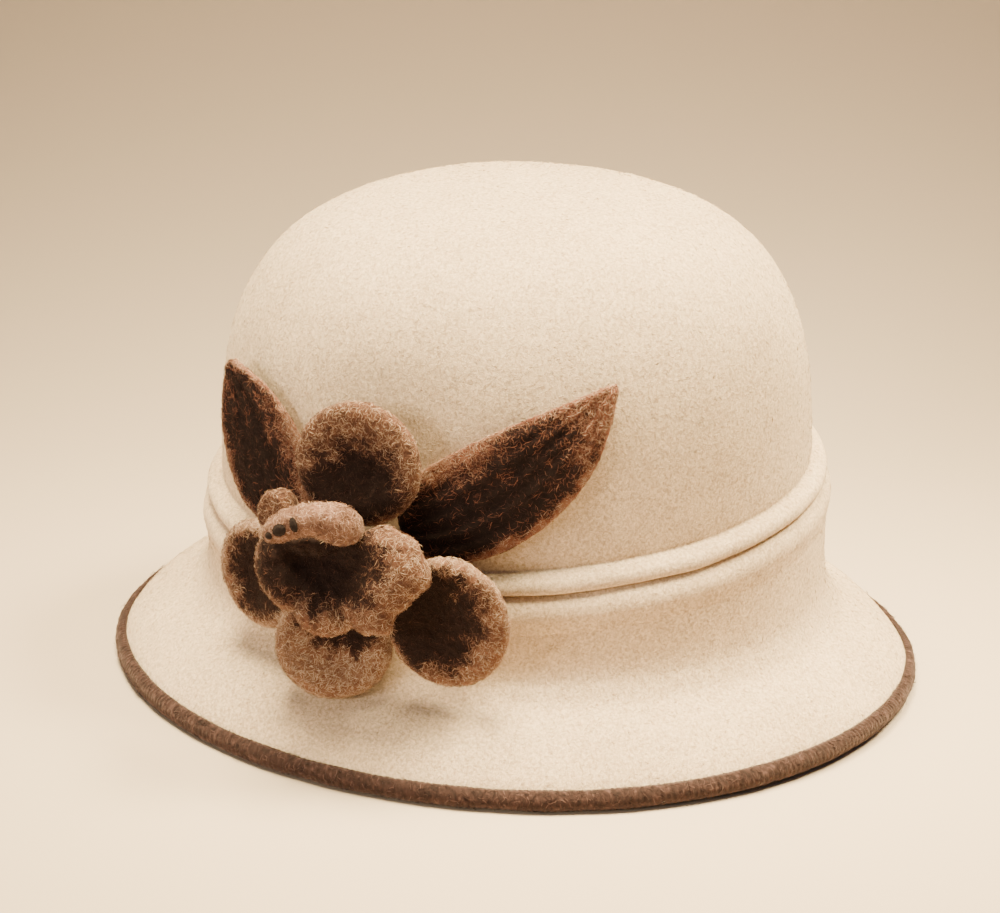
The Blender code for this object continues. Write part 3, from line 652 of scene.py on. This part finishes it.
woolPattern = dict(
    strandScale=620.0, clumpScale=330.0, tangle=3.0, roughness=0.78, roughSpread=0.2, bump=0.8, depth=0.0009,
)
woolLooks = dict(
    petalWool=dict(
        stops=((0.0, (0.012, 0.0057, 0.0055)), (0.30, (0.032, 0.0152, 0.0131)), (0.50, (0.140, 0.065, 0.044)),
               (0.76, (0.270, 0.165, 0.115)), (1.0, (0.45, 0.320, 0.235))),
        strandSpread=0.64, clumpSpread=0.38, sheen=0.10, tint=(0.92, 0.6656, 0.5612),
    ),
    leafWool=dict(
        stops=((0.0, (0.012, 0.0071, 0.0073)), (0.28, (0.032, 0.0172, 0.0165)), (0.48, (0.165, 0.064, 0.044)),
               (0.76, (0.245, 0.130, 0.090)), (1.0, (0.38, 0.250, 0.185))),
        strandSpread=0.66, clumpSpread=0.44, sheen=0.06, tint=(0.88, 0.6032, 0.5124),
    ),
    columnWool=dict(
        stops=((0.0, (0.11, 0.0551, 0.0415)), (0.30, (0.225, 0.1196, 0.0903)), (0.60, (0.35, 0.2132, 0.1647)),
               (1.0, (0.5, 0.3484, 0.2867))),
        strandSpread=1.0, clumpSpread=0.50, sheen=0.15, tint=(1.0, 0.80, 0.60),
    ),
    spotWool=dict(
        stops=((0.0, (0.01, 0.0062, 0.0061)), (0.6, (0.024, 0.0125, 0.0122)), (1.0, (0.1, 0.0572, 0.0512))),
        strandSpread=0.5, clumpSpread=0.4, sheen=0.1, tint=(0.8, 0.624, 0.61),
    ),
    edgeWool=dict(
        stops=((0.0, (0.012, 0.0068, 0.0067)), (0.35, (0.038, 0.0198, 0.0183)), (0.65, (0.11, 0.0624, 0.0573)),
               (1.0, (0.3, 0.2028, 0.1891))),
        strandSpread=0.75, clumpSpread=0.60, sheen=0.18, tint=(0.95, 0.728, 0.6588),
    ),
)


def makeWool(name, look):
    material, tree, shader = newMaterial(name)
    pattern = placeStrands(tree, woolPattern)
    rim = addNode(tree, "ShaderNodeAttribute", attribute_name="rim").outputs["Fac"]
    strand = addNode(tree, "ShaderNodeAttribute", attribute_name="strand").outputs["Fac"]
    tone = spreadTone(tree, rim, strand, look["strandSpread"])
    tone = spreadTone(tree, tone, pattern["Clumps"], look["clumpSpread"])
    tree.links.new(rampNode(tree, tone, look["stops"]), shader.inputs["Base Color"])
    roughBy(tree, shader, pattern["Clumps"], woolPattern["roughSpread"], woolPattern["roughness"])
    setSoft(shader, look)
    bumpInto(tree, shader, pattern["Height"], woolPattern["bump"], woolPattern["depth"])
    return material


creamFelt = makeCreamFelt("creamFelt", creamLook)
creamNap = makeCreamFelt("creamNap", creamLook, bump=False)
wool = {name: makeWool(name, look) for name, look in woolLooks.items()}


def dress(thing, material, node=None):
    thing.data.materials.append(material)
    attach(thing, "root")
    if node:
        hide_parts(node)
    return thing


# the felt body, one shell with its tuck
def makeFeltBody():
    dome = domeRows(np.linspace(*hat["domeTurns"]), 0.0)
    lower = splineRows([(hat["domeStart"], 0.0, 1.0)] + lowerRows()[1:], hat["lowerSteps"])
    rows = np.vstack((dome, lower))
    angles = np.arange(hat["segments"]) * turn / hat["segments"]
    foldTop, groove = tuck["groove"] + tuck["height"], tuck["groove"]
    fold = [(foldTop, 0.0, 1.0), (groove, brim["bandOut"] * tuck["insideOut"], 1.0)]
    inner = splineRows(insetRows(fold + bandRows(), hat["felt"])[::-1], hat["insideSteps"])
    innerDome = domeRows(np.linspace(*hat["insideTurns"]), hat["felt"])
    angle, height = np.meshgrid(angles, np.concatenate((rows[:, 0], inner[:, 0], innerDome[:, 0])))
    outward = np.concatenate((rows[:, 1], inner[:, 1], innerDome[:, 1]))[:, None] + dent(angle, height)
    scale = np.concatenate((rows[:, 2], inner[:, 2], innerDome[:, 2]))[:, None]
    waves = [noiseRound(angles, turns, seed) for turns, seed in tuck["waves"]]
    near = np.exp(-(((height - tuck["groove"]) / tuck["waverReach"]) ** 2))
    outerRows = np.arange(len(height))[:, None] < len(rows)
    moved = height + near * outerRows * waves[0] * tuck["waver"] * tuck["waverHigh"]
    onTuck = outward > 0.001
    outward = outward + near * outerRows * waves[1] * tuck["waver"] * tuck["waverOut"] * onTuck
    rings = hatPoints(angle, moved, outward, scale)
    top = hatPoints(0.0, hat["height"], 0.0, 0.0)
    innerTop = hatPoints(0.0, hat["height"] - hat["felt"], 0.0, 0.0)
    thing = ringSkin("feltBody", rings, top, innerTop)
    roughen(thing, hat["lumps"])
    setValue(thing, "strand", np.full(len(thing.data.vertices), 0.5))
    return dress(thing, creamFelt, "felt_body")


feltBody = makeFeltBody()
print("felt body done")


# the wound edge: an oval that is flat underneath, with a slot for the felt
def bindingSection():
    rows = bandRows()
    (high, inside, _), (low, outside, _) = rows[-2], rows[-1]
    along = unit(np.array((outside - inside, low - high)))
    across = np.array((along[1], -along[0]))
    slotHalf = hat["felt"] / 2.0 + binding["clearance"]
    slotEnd = across * hat["felt"] / 2.0 + along * binding["clearance"]
    size = np.array((binding["width"], binding["height"]))
    centre = size * np.array((binding["outward"], -binding["drop"]))
    corners = (slotEnd - across * slotHalf, slotEnd + across * slotHalf)
    turns = []
    for corner in corners:
        start = (corner - centre) / size * 2.0
        step = along / size * -2.0
        half = start @ step / (step @ step)
        rest = (start @ start - 1.0) / (step @ step)
        reach = start + step * (math.sqrt(half * half - rest) - half)
        turns.append(math.atan2(reach[1], reach[0]))
    flat = math.radians(binding["flatTurn"])
    bottom = -math.pi / 2.0
    end = turns[1] if turns[1] < bottom else turns[1] - turn
    outer = np.linspace(turns[0], bottom + flat, binding["halfSteps"])
    inner = np.linspace(bottom - flat, end, binding["halfSteps"])
    around = np.concatenate((outer, inner))
    oval = centre + np.stack((np.cos(around), np.sin(around)), 1) * size / 2.0
    return np.vstack((corners[0], oval, corners[1])), np.concatenate(((turns[0],), around, (end,)))


def makeBinding():
    section, around = bindingSection()
    angles = np.arange(binding["rings"]) * turn / binding["rings"]
    wind = np.sin(angles[:, None] * binding["windings"] + around[None, :] * binding["slant"])
    uneven = noiseRound(angles, binding["unevenTurns"], 1.0)[:, None]
    rib = binding["ribDepth"] * (wind - 1.0) + binding["uneven"] * uneven - binding["sunk"]
    rib[:, [0, -1]] = 0.0
    underneath = np.abs(around + math.pi / 2) < math.radians(binding["flatGuard"])
    rib = np.where(underneath, np.minimum(rib, 0.0), rib)
    outward = section[None, :, 0] + np.cos(around)[None, :] * rib
    lift = section[None, :, 1] + np.sin(around)[None, :] * rib
    rings = hatPoints(angles[:, None], 0.0, brim["width"] + outward)
    rings[..., 2] += lift
    thing = ringSkin("woundEdge", rings)
    specks = noiseAt(vertexArray(thing.data), binding["speckSize"], binding["speckSeed"])
    setValue(thing, "strand", 0.5 + 0.5 * specks)
    setValue(thing, "rim", np.full(len(specks), binding["tone"]))
    return dress(thing, wool["edgeWool"], "edge_roll")


woundEdge = makeBinding()
print("edge done")


padLook = dict(
    lumps=((0.00035, 0.004, 0.0), (0.0002, 0.0016, 3.0)), baseTone=0.84, baseDarker=0.08, strand=0.42,
    fill=0.9, backLimit=-0.35,
    ragged=0.30, raggedTurns=4.0, fine=0.28, fineSize=0.004, darkEdge=0.62, darkSoft=0.75,
    rimFine=0.08, darker=0.08, ringSoft=0.25, shiftFade=1.5,
)


# felted pads: a tone from 0, the dark middle, to 1, the light rim, at any point of a piece; on the bottom petal
# the dark part lies at its top, under the lip, and is partly the wool's dark streaks and partly painted shade
def flatPlace(points, frameOf):
    centre, right, high, size = frameOf
    rest = points - centre
    return rest @ right / size, rest @ high / size


def patchTone(frameOf, look, edgeShare, seed):
    def tone(points):
        x, y = flatPlace(points, frameOf)
        away = np.hypot((x - look["darkAcross"]) / look.get("darkStretch", 1.0), y - look["darkUp"])
        direction = np.arctan2(y - look["darkUp"], x - look["darkAcross"])
        ragged = noiseRound(direction, padLook["raggedTurns"], seed) * padLook["ragged"]
        fine = noiseAt(points, padLook["fineSize"], seed)
        past = away / look["darkReach"] - padLook["darkEdge"] + ragged + fine * padLook["fine"]
        dark = smoothStep(past / padLook["darkSoft"])
        past = edgeShare(x, y) + fine * padLook["rimFine"] - look["rimStart"]
        edge = smoothStep(past / (1.0 - look["rimStart"]))
        return np.clip(np.maximum(look["face"] * dark, look["rim"] * edge) - padLook["darker"], 0.0, 1.0)
    return tone


# fibres run out from the dark middle and turn to follow the rim
def patchGrain(frameOf, look, edgeShare):
    def grain(points):
        _, right, high, _ = frameOf
        x, y = flatPlace(points, frameOf)
        around = smoothStep((edgeShare(x, y) - look["ringStart"]) / padLook["ringSoft"])
        away = unit(np.stack((x - look["darkAcross"], y - look["darkUp"]), 1))
        ring = unit(np.stack((-y, x), 1))
        mixed = away * (1.0 - around)[:, None] + ring * around[:, None]
        return mixed[:, :1] * right + mixed[:, 1:] * high
    return grain


def ovalOutline(width, height, count):
    around = np.arange(count) * turn / count
    return np.stack((width * np.cos(around), height * np.sin(around)), 1)


def padRings(piece, centre, thickness, outline, rows, puff=None, shift=None):
    right, high, normal = padAxes(piece)
    rings = []
    for share, lift in rows:
        lifts = lift * thickness * (1.0 if puff is None or lift < 0 else puff)
        lifts = np.broadcast_to(np.asarray(lifts), len(outline))[:, None]
        flat = outline * share
        if shift is not None:
            flat = flat + np.asarray(shift) * (1.0 - share) ** padLook["shiftFade"]
        rings.append(centre + flat[:, :1] * right + flat[:, 1:] * high + lifts * normal)
    return rings


# the stub behind a pad narrows to a round end, just clear of the felt
def rootRings(piece, depth, radius, count, lastRing):
    _, _, normal = padAxes(piece)
    across, high, _ = inFlower(padCentre(piece) - normal * depth)
    around = np.arange(pad["stubSegments"]) * turn / pad["stubSegments"]
    wall = float(surfaceOut(across, high))
    for share in pad["stubReach"]:
        reach = radius * share
        wall = max(wall, surfaceOut(across + reach * np.cos(around), high + reach * np.sin(around)).max())
    end = onFlower(across, high, wall + binding["clearance"])
    around = np.arange(count) * turn / count
    ring = end + (np.cos(around)[:, None] * flowerSide + np.sin(around)[:, None] * up) * radius
    return [lastRing + (ring - lastRing) * share for share in pad["stubShares"]], end


curlyLook = dict(
    steps=3, length=(0.0014, 0.0036), curl=2.2, stray=0.9, loft=0.0005, stand=0.0009, width=0.00022, roll=0.5,
    sink=0.0002, wiggle=0.35,
)


def finishFelt(thing, tone, material, node, lumps, seed):
    roughen(thing, [(depth, size, seed + more) for depth, size, more in lumps])
    setValue(thing, "rim", tone(vertexArray(thing.data)) * padLook["baseTone"] - padLook["baseDarker"])
    setValue(thing, "strand", np.full(len(thing.data.vertices), padLook["strand"]))
    dress(thing, wool[material], node)


def finishPad(thing, tone, material, node, fibres, seed, grain=None):
    finishFelt(thing, tone, material, node, padLook["lumps"], seed)
    frontOnly = lambda places, normals: (normals @ flowerOut > padLook["backLimit"]) * 1.0
    hair = growFibres(thing.name + "Fibres", thing, fibres, curlyLook, int(seed * 10), tone, frontOnly, grain)
    dress(hair, wool[material])


def makePetal(name, piece, seed):
    size = flower["petalRadius"]
    count = pad["segments"]
    outline = ovalOutline(piece["width"] * size, piece["height"] * size, count)
    centre = padCentre(piece)
    rows = splineRows(pad["front"] + pad["back"], pad["steps"])
    rings = padRings(piece, centre, flower["petalThickness"], outline, rows)
    stub, end = rootRings(piece, flower["petalThickness"] / 2.0, flower["petalRoot"], count, rings[-1])
    right, high, normal = padAxes(piece)
    thing = ringSkin(name, rings + stub, centre + normal * pad["middle"] * flower["petalThickness"], end)
    frameOf = (centre, right, high, size)
    edgeShare = lambda x, y: np.hypot(x / piece["width"], y / piece["height"])
    tone, grain = patchTone(frameOf, piece, edgeShare, seed), patchGrain(frameOf, piece, edgeShare)
    finishPad(thing, tone, "petalWool", piece["node"], pad["fibres"], seed, grain)


for index, (name, piece) in enumerate(petals.items()):
    makePetal(name, piece, pad["seed"] + index)
print("petals done")


# how far the lip's edge is in a direction
def reachTowards(direction):
    rows = lip["reach"]
    for here, after in zip(rows, rows[1:] + rows[:1]):
        span, past = (after[0] - here[0]) % 360, (direction - here[0]) % 360
        if past <= span:
            return here[1] + (after[1] - here[1]) * float(smoothStep(past / span))
    return rows[0][1]


def makeLip():
    count, seed = lip["segments"], lip["seed"]
    size = flower["lipSize"]
    directions = np.arange(count) * 360.0 / count
    reach = np.array([reachTowards(d) for d in directions])
    around = np.radians(directions)
    outline = np.stack((reach * np.cos(around), reach * np.sin(around)), 1) * size
    notches = np.zeros(count)
    for place, depth, spread in lip["notches"]:
        aside = (directions - place + 180.0) % 360.0 - 180.0
        notches += depth * np.exp(-((aside / spread) ** 2))
    aside = (directions - lip["ballPlace"] + 180.0) % 360.0 - 180.0
    puff = lip["puff"] - notches + lip["ballPuff"] * np.exp(-(aside / lip["ballSpread"]) ** 2)
    centre = padCentre(lip)
    rows = splineRows(lip["front"] + lip["back"], lip["steps"])
    rings = padRings(lip, centre, flower["lipThickness"], outline, rows, puff, lip["shift"])
    stub, end = rootRings(lip, flower["lipThickness"], flower["lipRoot"], count, rings[-1])
    right, high, normal = padAxes(lip)
    acrossShift, upShift = lip["shift"]
    first = centre + right * acrossShift + high * upShift + normal * lip["middle"] * flower["lipThickness"]
    thing = ringSkin("lipPad", rings + stub, first, end)
    frameOf = (centre, right, high, size)

    def edgeShare(x, y):
        towards = np.degrees(np.arctan2(y, x)) % 360.0
        return np.hypot(x, y) / np.interp(towards, directions, reach, period=360.0)

    tone, grain = patchTone(frameOf, lip, edgeShare, seed), patchGrain(frameOf, lip, edgeShare)
    finishPad(thing, tone, "petalWool", "lip", lip["fibres"], seed, grain)


makeLip()


def makeLobe():
    size = flower["lipSize"]
    outline = ovalOutline(lobe["width"] * size, lobe["height"] * size, lobe["segments"])
    centre = onLip(lobe["across"], lobe["up"], lobe["out"])
    rows = splineRows(lobe["start"] + pad["front"][3:] + pad["back"][:2] + lobe["end"], lobe["steps"])
    rings = padRings(lobe, centre, flower["lobeThickness"], outline, rows)
    _, _, normal = padAxes(lobe)
    reach = normal * flower["lobeThickness"] / 2.0
    thing = ringSkin("smallLobe", rings, centre + reach, centre - reach)
    tone = lambda points: np.full(len(points), lobe["tone"])
    finishPad(thing, tone, "petalWool", "small_lobe", lobe["fibres"], lobe["seed"])


makeLobe()
print("lip and lobe done")


def makeColumn():
    rows = splineRows(column["rows"], column["steps"])
    centres = np.array([onLip(*row[:3]) for row in rows])
    radii = rows[:, 3] * flower["columnRadius"]
    along = unit(np.gradient(centres, axis=0))
    side = unit(np.cross(up, along))
    high = np.cross(along, side)
    around = np.arange(column["segments"]) * turn / column["segments"]
    circle = np.cos(around)[:, None], np.sin(around)[:, None]
    rings = [c + (s * circle[0] + h * circle[1]) * r for c, s, h, r in zip(centres, side, high, radii)]
    share, ringOut, capOut = column["foot"]
    foot = [centres[0] + (rings[0] - centres[0]) * share - along[0] * radii[0] * ringOut]
    first = centres[0] - along[0] * radii[0] * capOut
    share, ringOut, capOut = column["end"]
    end = [centres[-1] + (rings[-1] - centres[-1]) * share + along[-1] * radii[-1] * ringOut]
    last = centres[-1] + along[-1] * radii[-1] * capOut
    thing = ringSkin("columnPad", foot + rings + end, first, last)
    mottle = lambda points: column["mottle"] * noiseAt(points, column["mottleSize"], column["seed"])
    tone = lambda points: np.clip(column["tone"] + mottle(points), 0.0, 1.0)
    finishPad(thing, tone, "columnWool", "column", column["fibres"], column["seed"])


makeColumn()


# the spots keep their solids and get wool
def finishSpots():
    for node in column["spots"]:
        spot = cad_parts[node]
        for entry in spot.material_slots:
            entry.link = "OBJECT"
            entry.material = wool["spotWool"]


finishSpots()


leafLook = dict(
    lumps=((0.00022, 0.003, 0.0), (0.00012, 0.0014, 3.0)), backLimit=-0.3, seed=51.0, seedStep=5,
    raggedSize=0.005, streakSize=0.0013, streakStretch=9.0, streakPlane=0.1, streak=0.24, least=0.05,
    edge=0.84, edgeRagged=0.16, edgeStart=0.72, edgeSoft=0.28,
    tip=0.66, tipRagged=0.20, tipEdge=0.10, tipSoft=0.42,
    bright=0.64, brightRagged=0.30, brightStart=0.05, brightSoft=0.9,
    fibres=5000, curls=2600, curlTone=0.42,
)
streakFibres = dict(curlyLook, stray=0.40, curl=1.2, length=(0.0016, 0.0042), loft=0.0004, stand=0.0005)
curlFibres = dict(curlyLook, length=(0.0012, 0.0028), width=0.00020)


# the leaves lie along the crown
def leafLine(piece):
    base = np.array(piece["base"]) * flower["petalRadius"]
    bend, tip = (np.array(piece[key]) * flower["leafLength"] for key in ("bend", "tip"))
    return np.array([base, base + bend, base + tip])


def alongLine(line, share):
    share = np.asarray(share)[..., None]
    rest = 1.0 - share
    return rest * rest * line[0] + 2.0 * rest * share * line[1] + share * share * line[2]


def leafPoints(piece, line, places, lift):
    wall = surfaceOut(places[..., 0], places[..., 1])
    atBase = surfaceOut(*line[0])
    out = wall * piece["follow"] + atBase * (1.0 - piece["follow"])
    out = out + flower["leafThickness"] * (lift + 0.5 + piece["standoff"])
    return onFlower(places[..., 0], places[..., 1], out)


def makeLeaf(name, piece, seed):
    line = leafLine(piece)
    widths = splineRows(leafShape["widths"], leafShape["steps"])
    section = splineRows(leafShape["section"] + leafShape["section"][:1], leafShape["sectionSteps"])[:-1]
    share = widths[:, 0]
    middle = alongLine(line, share)
    ahead = unit(alongLine(line, share + leafShape["ahead"]) - middle)
    halfWidth = piece["halfWidth"] * flower["leafLength"]
    aside = np.stack((-ahead[:, 1], ahead[:, 0]), 1) * (halfWidth * widths[:, 1])[:, None]
    places = middle[:, None, :] + aside[:, None, :] * section[None, :, :1]
    onTop = section[:, 1] > leafShape["ridgeFrom"]
    ridge = np.sin((section[:, 0] * piece["ridges"] + 0.5) * math.pi) * (1.0 - section[:, 0] ** 4) * onTop
    fade = smoothStep((1.0 - share) / leafShape["fade"])
    raised = leafShape["ridge"] * ridge[None, :] * fade[:, None]
    lift = section[None, :, 1] + raised - leafShape["flat"] * onTop[None, :]
    first = leafPoints(piece, line, alongLine(line, -leafShape["ahead"]), 0.0)
    last = leafPoints(piece, line, line[2], 0.0)
    thing = ringSkin(name, leafPoints(piece, line, places, lift), first, last)
    shares = np.linspace(0.0, 1.0, leafShape["spinePoints"])
    spine = alongLine(line, shares)
    halfWidths = halfWidth * np.interp(shares, widths[:, 0], widths[:, 1], right=leafShape["tipWidth"])

    # the nearest place along the leaf's middle line, and how far aside of it
    def placeOn(points):
        across, high, _ = inFlower(points)
        gap = np.stack((across, high), 1)[:, None, :] - spine[None]
        nearest = np.argmin(np.einsum("ijk,ijk->ij", gap, gap), 1)
        gap, step = gap[np.arange(len(points)), nearest], np.gradient(spine, axis=0)[nearest]
        return nearest, (step[:, 0] * gap[:, 1] - step[:, 1] * gap[:, 0]) / np.linalg.norm(step, axis=1)

    def tone(points):
        nearest, aside = placeOn(points)
        share = np.abs(aside) / np.maximum(halfWidths[nearest], 0.001)
        ragged = noiseAt(points, leafLook["raggedSize"], seed)
        lengthwise = shares[nearest] * flower["leafLength"] / leafLook["streakStretch"]
        plane = np.full(len(points), leafLook["streakPlane"])
        streak = noiseAt(np.stack((lengthwise, aside, plane), 1), leafLook["streakSize"], seed + 5.0)
        past = share + ragged * leafLook["edgeRagged"] - leafLook["edgeStart"]
        edge = smoothStep(past / leafLook["edgeSoft"])
        past = shares[nearest] - piece["tipShare"] + ragged * leafLook["tipRagged"]
        tip = smoothStep((past + leafLook["tipEdge"] * share) / leafLook["tipSoft"])
        past = aside * piece["brightSide"] / halfWidths.max() + ragged * leafLook["brightRagged"]
        bright = smoothStep((past - leafLook["brightStart"]) / leafLook["brightSoft"])
        light = np.maximum(leafLook["tip"] * tip, leafLook["bright"] * bright)
        light = np.maximum(leafLook["edge"] * edge, light)
        return np.clip(leafLook["least"] + light + leafLook["streak"] * streak, 0.0, 1.0)

    def grain(points):
        nearest, _ = placeOn(points)
        step = np.gradient(spine, axis=0)[nearest]
        return step[:, :1] * flowerSide + step[:, 1:] * up

    finishFelt(thing, tone, "leafWool", piece["node"], leafLook["lumps"], seed)
    outside = lambda places, normals: (normals @ flowerOut > leafLook["backLimit"]) * 1.0
    rimmed = lambda places, normals: outside(places, normals) * (tone(places) > leafLook["curlTone"])
    hair = growFibres(name + "Fibres", thing, leafLook["fibres"], streakFibres, int(seed), tone, outside, grain)
    dress(hair, wool["leafWool"])
    curls = growFibres(name + "Curls", thing, leafLook["curls"], curlFibres, int(seed) + 1, tone, rimmed)
    dress(curls, wool["leafWool"])


for index, (name, piece) in enumerate(leaves.items()):
    makeLeaf(name, piece, leafLook["seed"] + index * leafLook["seedStep"])
print("leaves done")


# nap on the felt and loose ends on the edge
napLook = dict(
    steps=2, length=(0.0010, 0.0026), curl=1.5, loft=0.00022, stand=0.0006, standPower=5.0, width=0.00016,
    roll=0.6, sink=0.0001, wiggle=0.3, count=42000,
    zones=(("crownNap", 0.075, 1.0, 71), ("brimNap", 0.0, 0.075, 72)),  # from and up to a height, and seed
)
edgeLook = dict(
    steps=4, length=(0.0018, 0.0045), curl=2.2, stray=0.9, loft=0.00035, stand=0.0014, standPower=5.0,
    width=0.00020, roll=0.5, sink=0.00015, wiggle=0.35,
)


def outerFelt(low, high):
    def weight(places, normals):
        return (~isInsideHat(places + normals * 0.001)) & (places[:, 2] > low) & (places[:, 2] <= high)
    return weight


for name, low, high, seed in napLook["zones"]:
    nap = growFibres(name, feltBody, napLook["count"], napLook, seed, weight=outerFelt(low, high))
    dress(nap, creamNap)

edgeFibres = growFibres(
    "edgeFibres", woundEdge, binding["fibres"], edgeLook, 81,
    tone=lambda points: np.full(len(points), binding["fibreTone"]),
    weight=lambda places, normals: (normals[:, 2] > binding["lowest"]) * 1.0,
    grain=lambda points: np.tile(up, (len(points), 1)),
)
dress(edgeFibres, wool["edgeWool"])
print("nap done")


# paper sweep, light and camera
stageLook = dict(
    near=4.0, bendStart=-0.17, bendRadius=0.24, bendSteps=40, top=2.6, halfWide=3.0, groundDrop=-0.002,
    colour=(0.50, 0.415, 0.350), darker=0.985, cloudScale=3.0, roughness=0.9, specular=0.2,
    world=(1.0, 0.97, 1.0), worldStrength=0.17,
)


# the paper rises behind the hat; from behind it is clear, so that the hat's back stays in view
def makeSweep():
    radius = stageLook["bendRadius"]
    turns = np.linspace(0.0, math.pi / 2.0, stageLook["bendSteps"])
    x = np.concatenate(((stageLook["near"],), stageLook["bendStart"] - radius * np.sin(turns)))
    z = np.concatenate(((0.0,), radius - radius * np.cos(turns)))
    x, z = np.append(x, x[-1]), np.append(z, stageLook["top"])
    wide = stageLook["halfWide"]
    points = np.concatenate([np.stack((x, np.full(len(x), y), z), 1) for y in (wide, -wide)])
    here = np.arange(len(x) - 1)
    ends = (stageLook["bendStart"], -stageLook["near"])
    ground = [(end, y, stageLook["groundDrop"]) for end in ends for y in (wide, -wide)]
    start = len(points)
    sides = [np.stack((here, here + 1, here + 1 + len(x), here + len(x)), 1), start + np.array([[0, 2, 3, 1]])]
    sweep = meshFrom("paperSweep", np.vstack((points, ground)), sides)
    material, tree, shader = newMaterial("palePaper")
    place = addNode(tree, "ShaderNodeTexCoord").outputs["Object"]
    cloudy = noiseNode(tree, place, stageLook["cloudScale"], 2.0, 0.5)
    light = stageLook["colour"]
    colour = rampNode(tree, cloudy, ((0.3, tuple(c * stageLook["darker"] for c in light)), (0.7, light)))
    tree.links.new(colour, shader.inputs["Base Color"])
    behind = addNode(tree, "ShaderNodeNewGeometry").outputs["Backfacing"]
    tree.links.new(mathNode(tree, "SUBTRACT", 1.0, behind), shader.inputs["Alpha"])
    shader.inputs["Roughness"].default_value = stageLook["roughness"]
    shader.inputs["Specular IOR Level"].default_value = stageLook["specular"]
    sweep.data.materials.append(material)


lamps = dict(
    keyLight=dict(
        place=(0.04, -0.12, 1.20), aim=(0.12, -0.04, 0.0), size=0.70, power=10.6,
        colour=(1.0, 0.80, 0.45), spread=50.0,
    ),
    sideLight=dict(
        place=(-0.05, 0.60, 1.00), aim=(0.03, 0.13, 0.02), size=0.45, power=3.4,
        colour=(1.0, 0.81, 0.46), spread=34.0,
    ),
    frontLight=dict(
        place=(0.70, -1.05, 0.34), aim=(0.02, -0.12, 0.02), size=0.7, power=1.0,
        colour=(1.0, 0.85, 0.62), spread=30.0,
    ),
)


def makeLight(name, look):
    data = bpy.data.lights.new(name, "AREA")
    data.shape = "DISK"
    data.size = look["size"]
    data.energy = look["power"]
    data.color = look["colour"]
    data.spread = math.radians(look["spread"])
    lamp = bpy.data.objects.new(name, data)
    lamp.location = look["place"]
    lamp.rotation_mode = "QUATERNION"
    lamp.rotation_quaternion = (Vector(look["aim"]) - Vector(look["place"])).to_track_quat("-Z", "Y")
    bpy.context.scene.collection.objects.link(lamp)


def makeWorld():
    world = bpy.data.worlds.new("paleRoom")
    world.use_nodes = True
    background = world.node_tree.nodes["Background"]
    background.inputs["Color"].default_value = (*stageLook["world"], 1.0)
    background.inputs["Strength"].default_value = stageLook["worldStrength"]
    bpy.context.scene.world = world


photoView = dict(
    place=(1.2254, -0.0301, 0.5712), degrees=(67.855, -2.468, 90.0), lens=139.14, sensor=36.0,
    nearest=0.05, farthest=60.0,
)


def makeCamera():
    data = bpy.data.cameras.new("photoCamera")
    data.lens = photoView["lens"]
    data.sensor_width = photoView["sensor"]
    data.clip_start, data.clip_end = photoView["nearest"], photoView["farthest"]
    camera = bpy.data.objects.new("photoCamera", data)
    tilt = Euler([math.radians(angle) for angle in photoView["degrees"]])
    camera.matrix_world = Matrix.LocRotScale(Vector(photoView["place"]), tilt, None)
    bpy.context.scene.collection.objects.link(camera)
    bpy.context.scene.camera = camera


makeSweep()
makeWorld()
for name, look in lamps.items():
    makeLight(name, look)
makeCamera()

print("scene done")
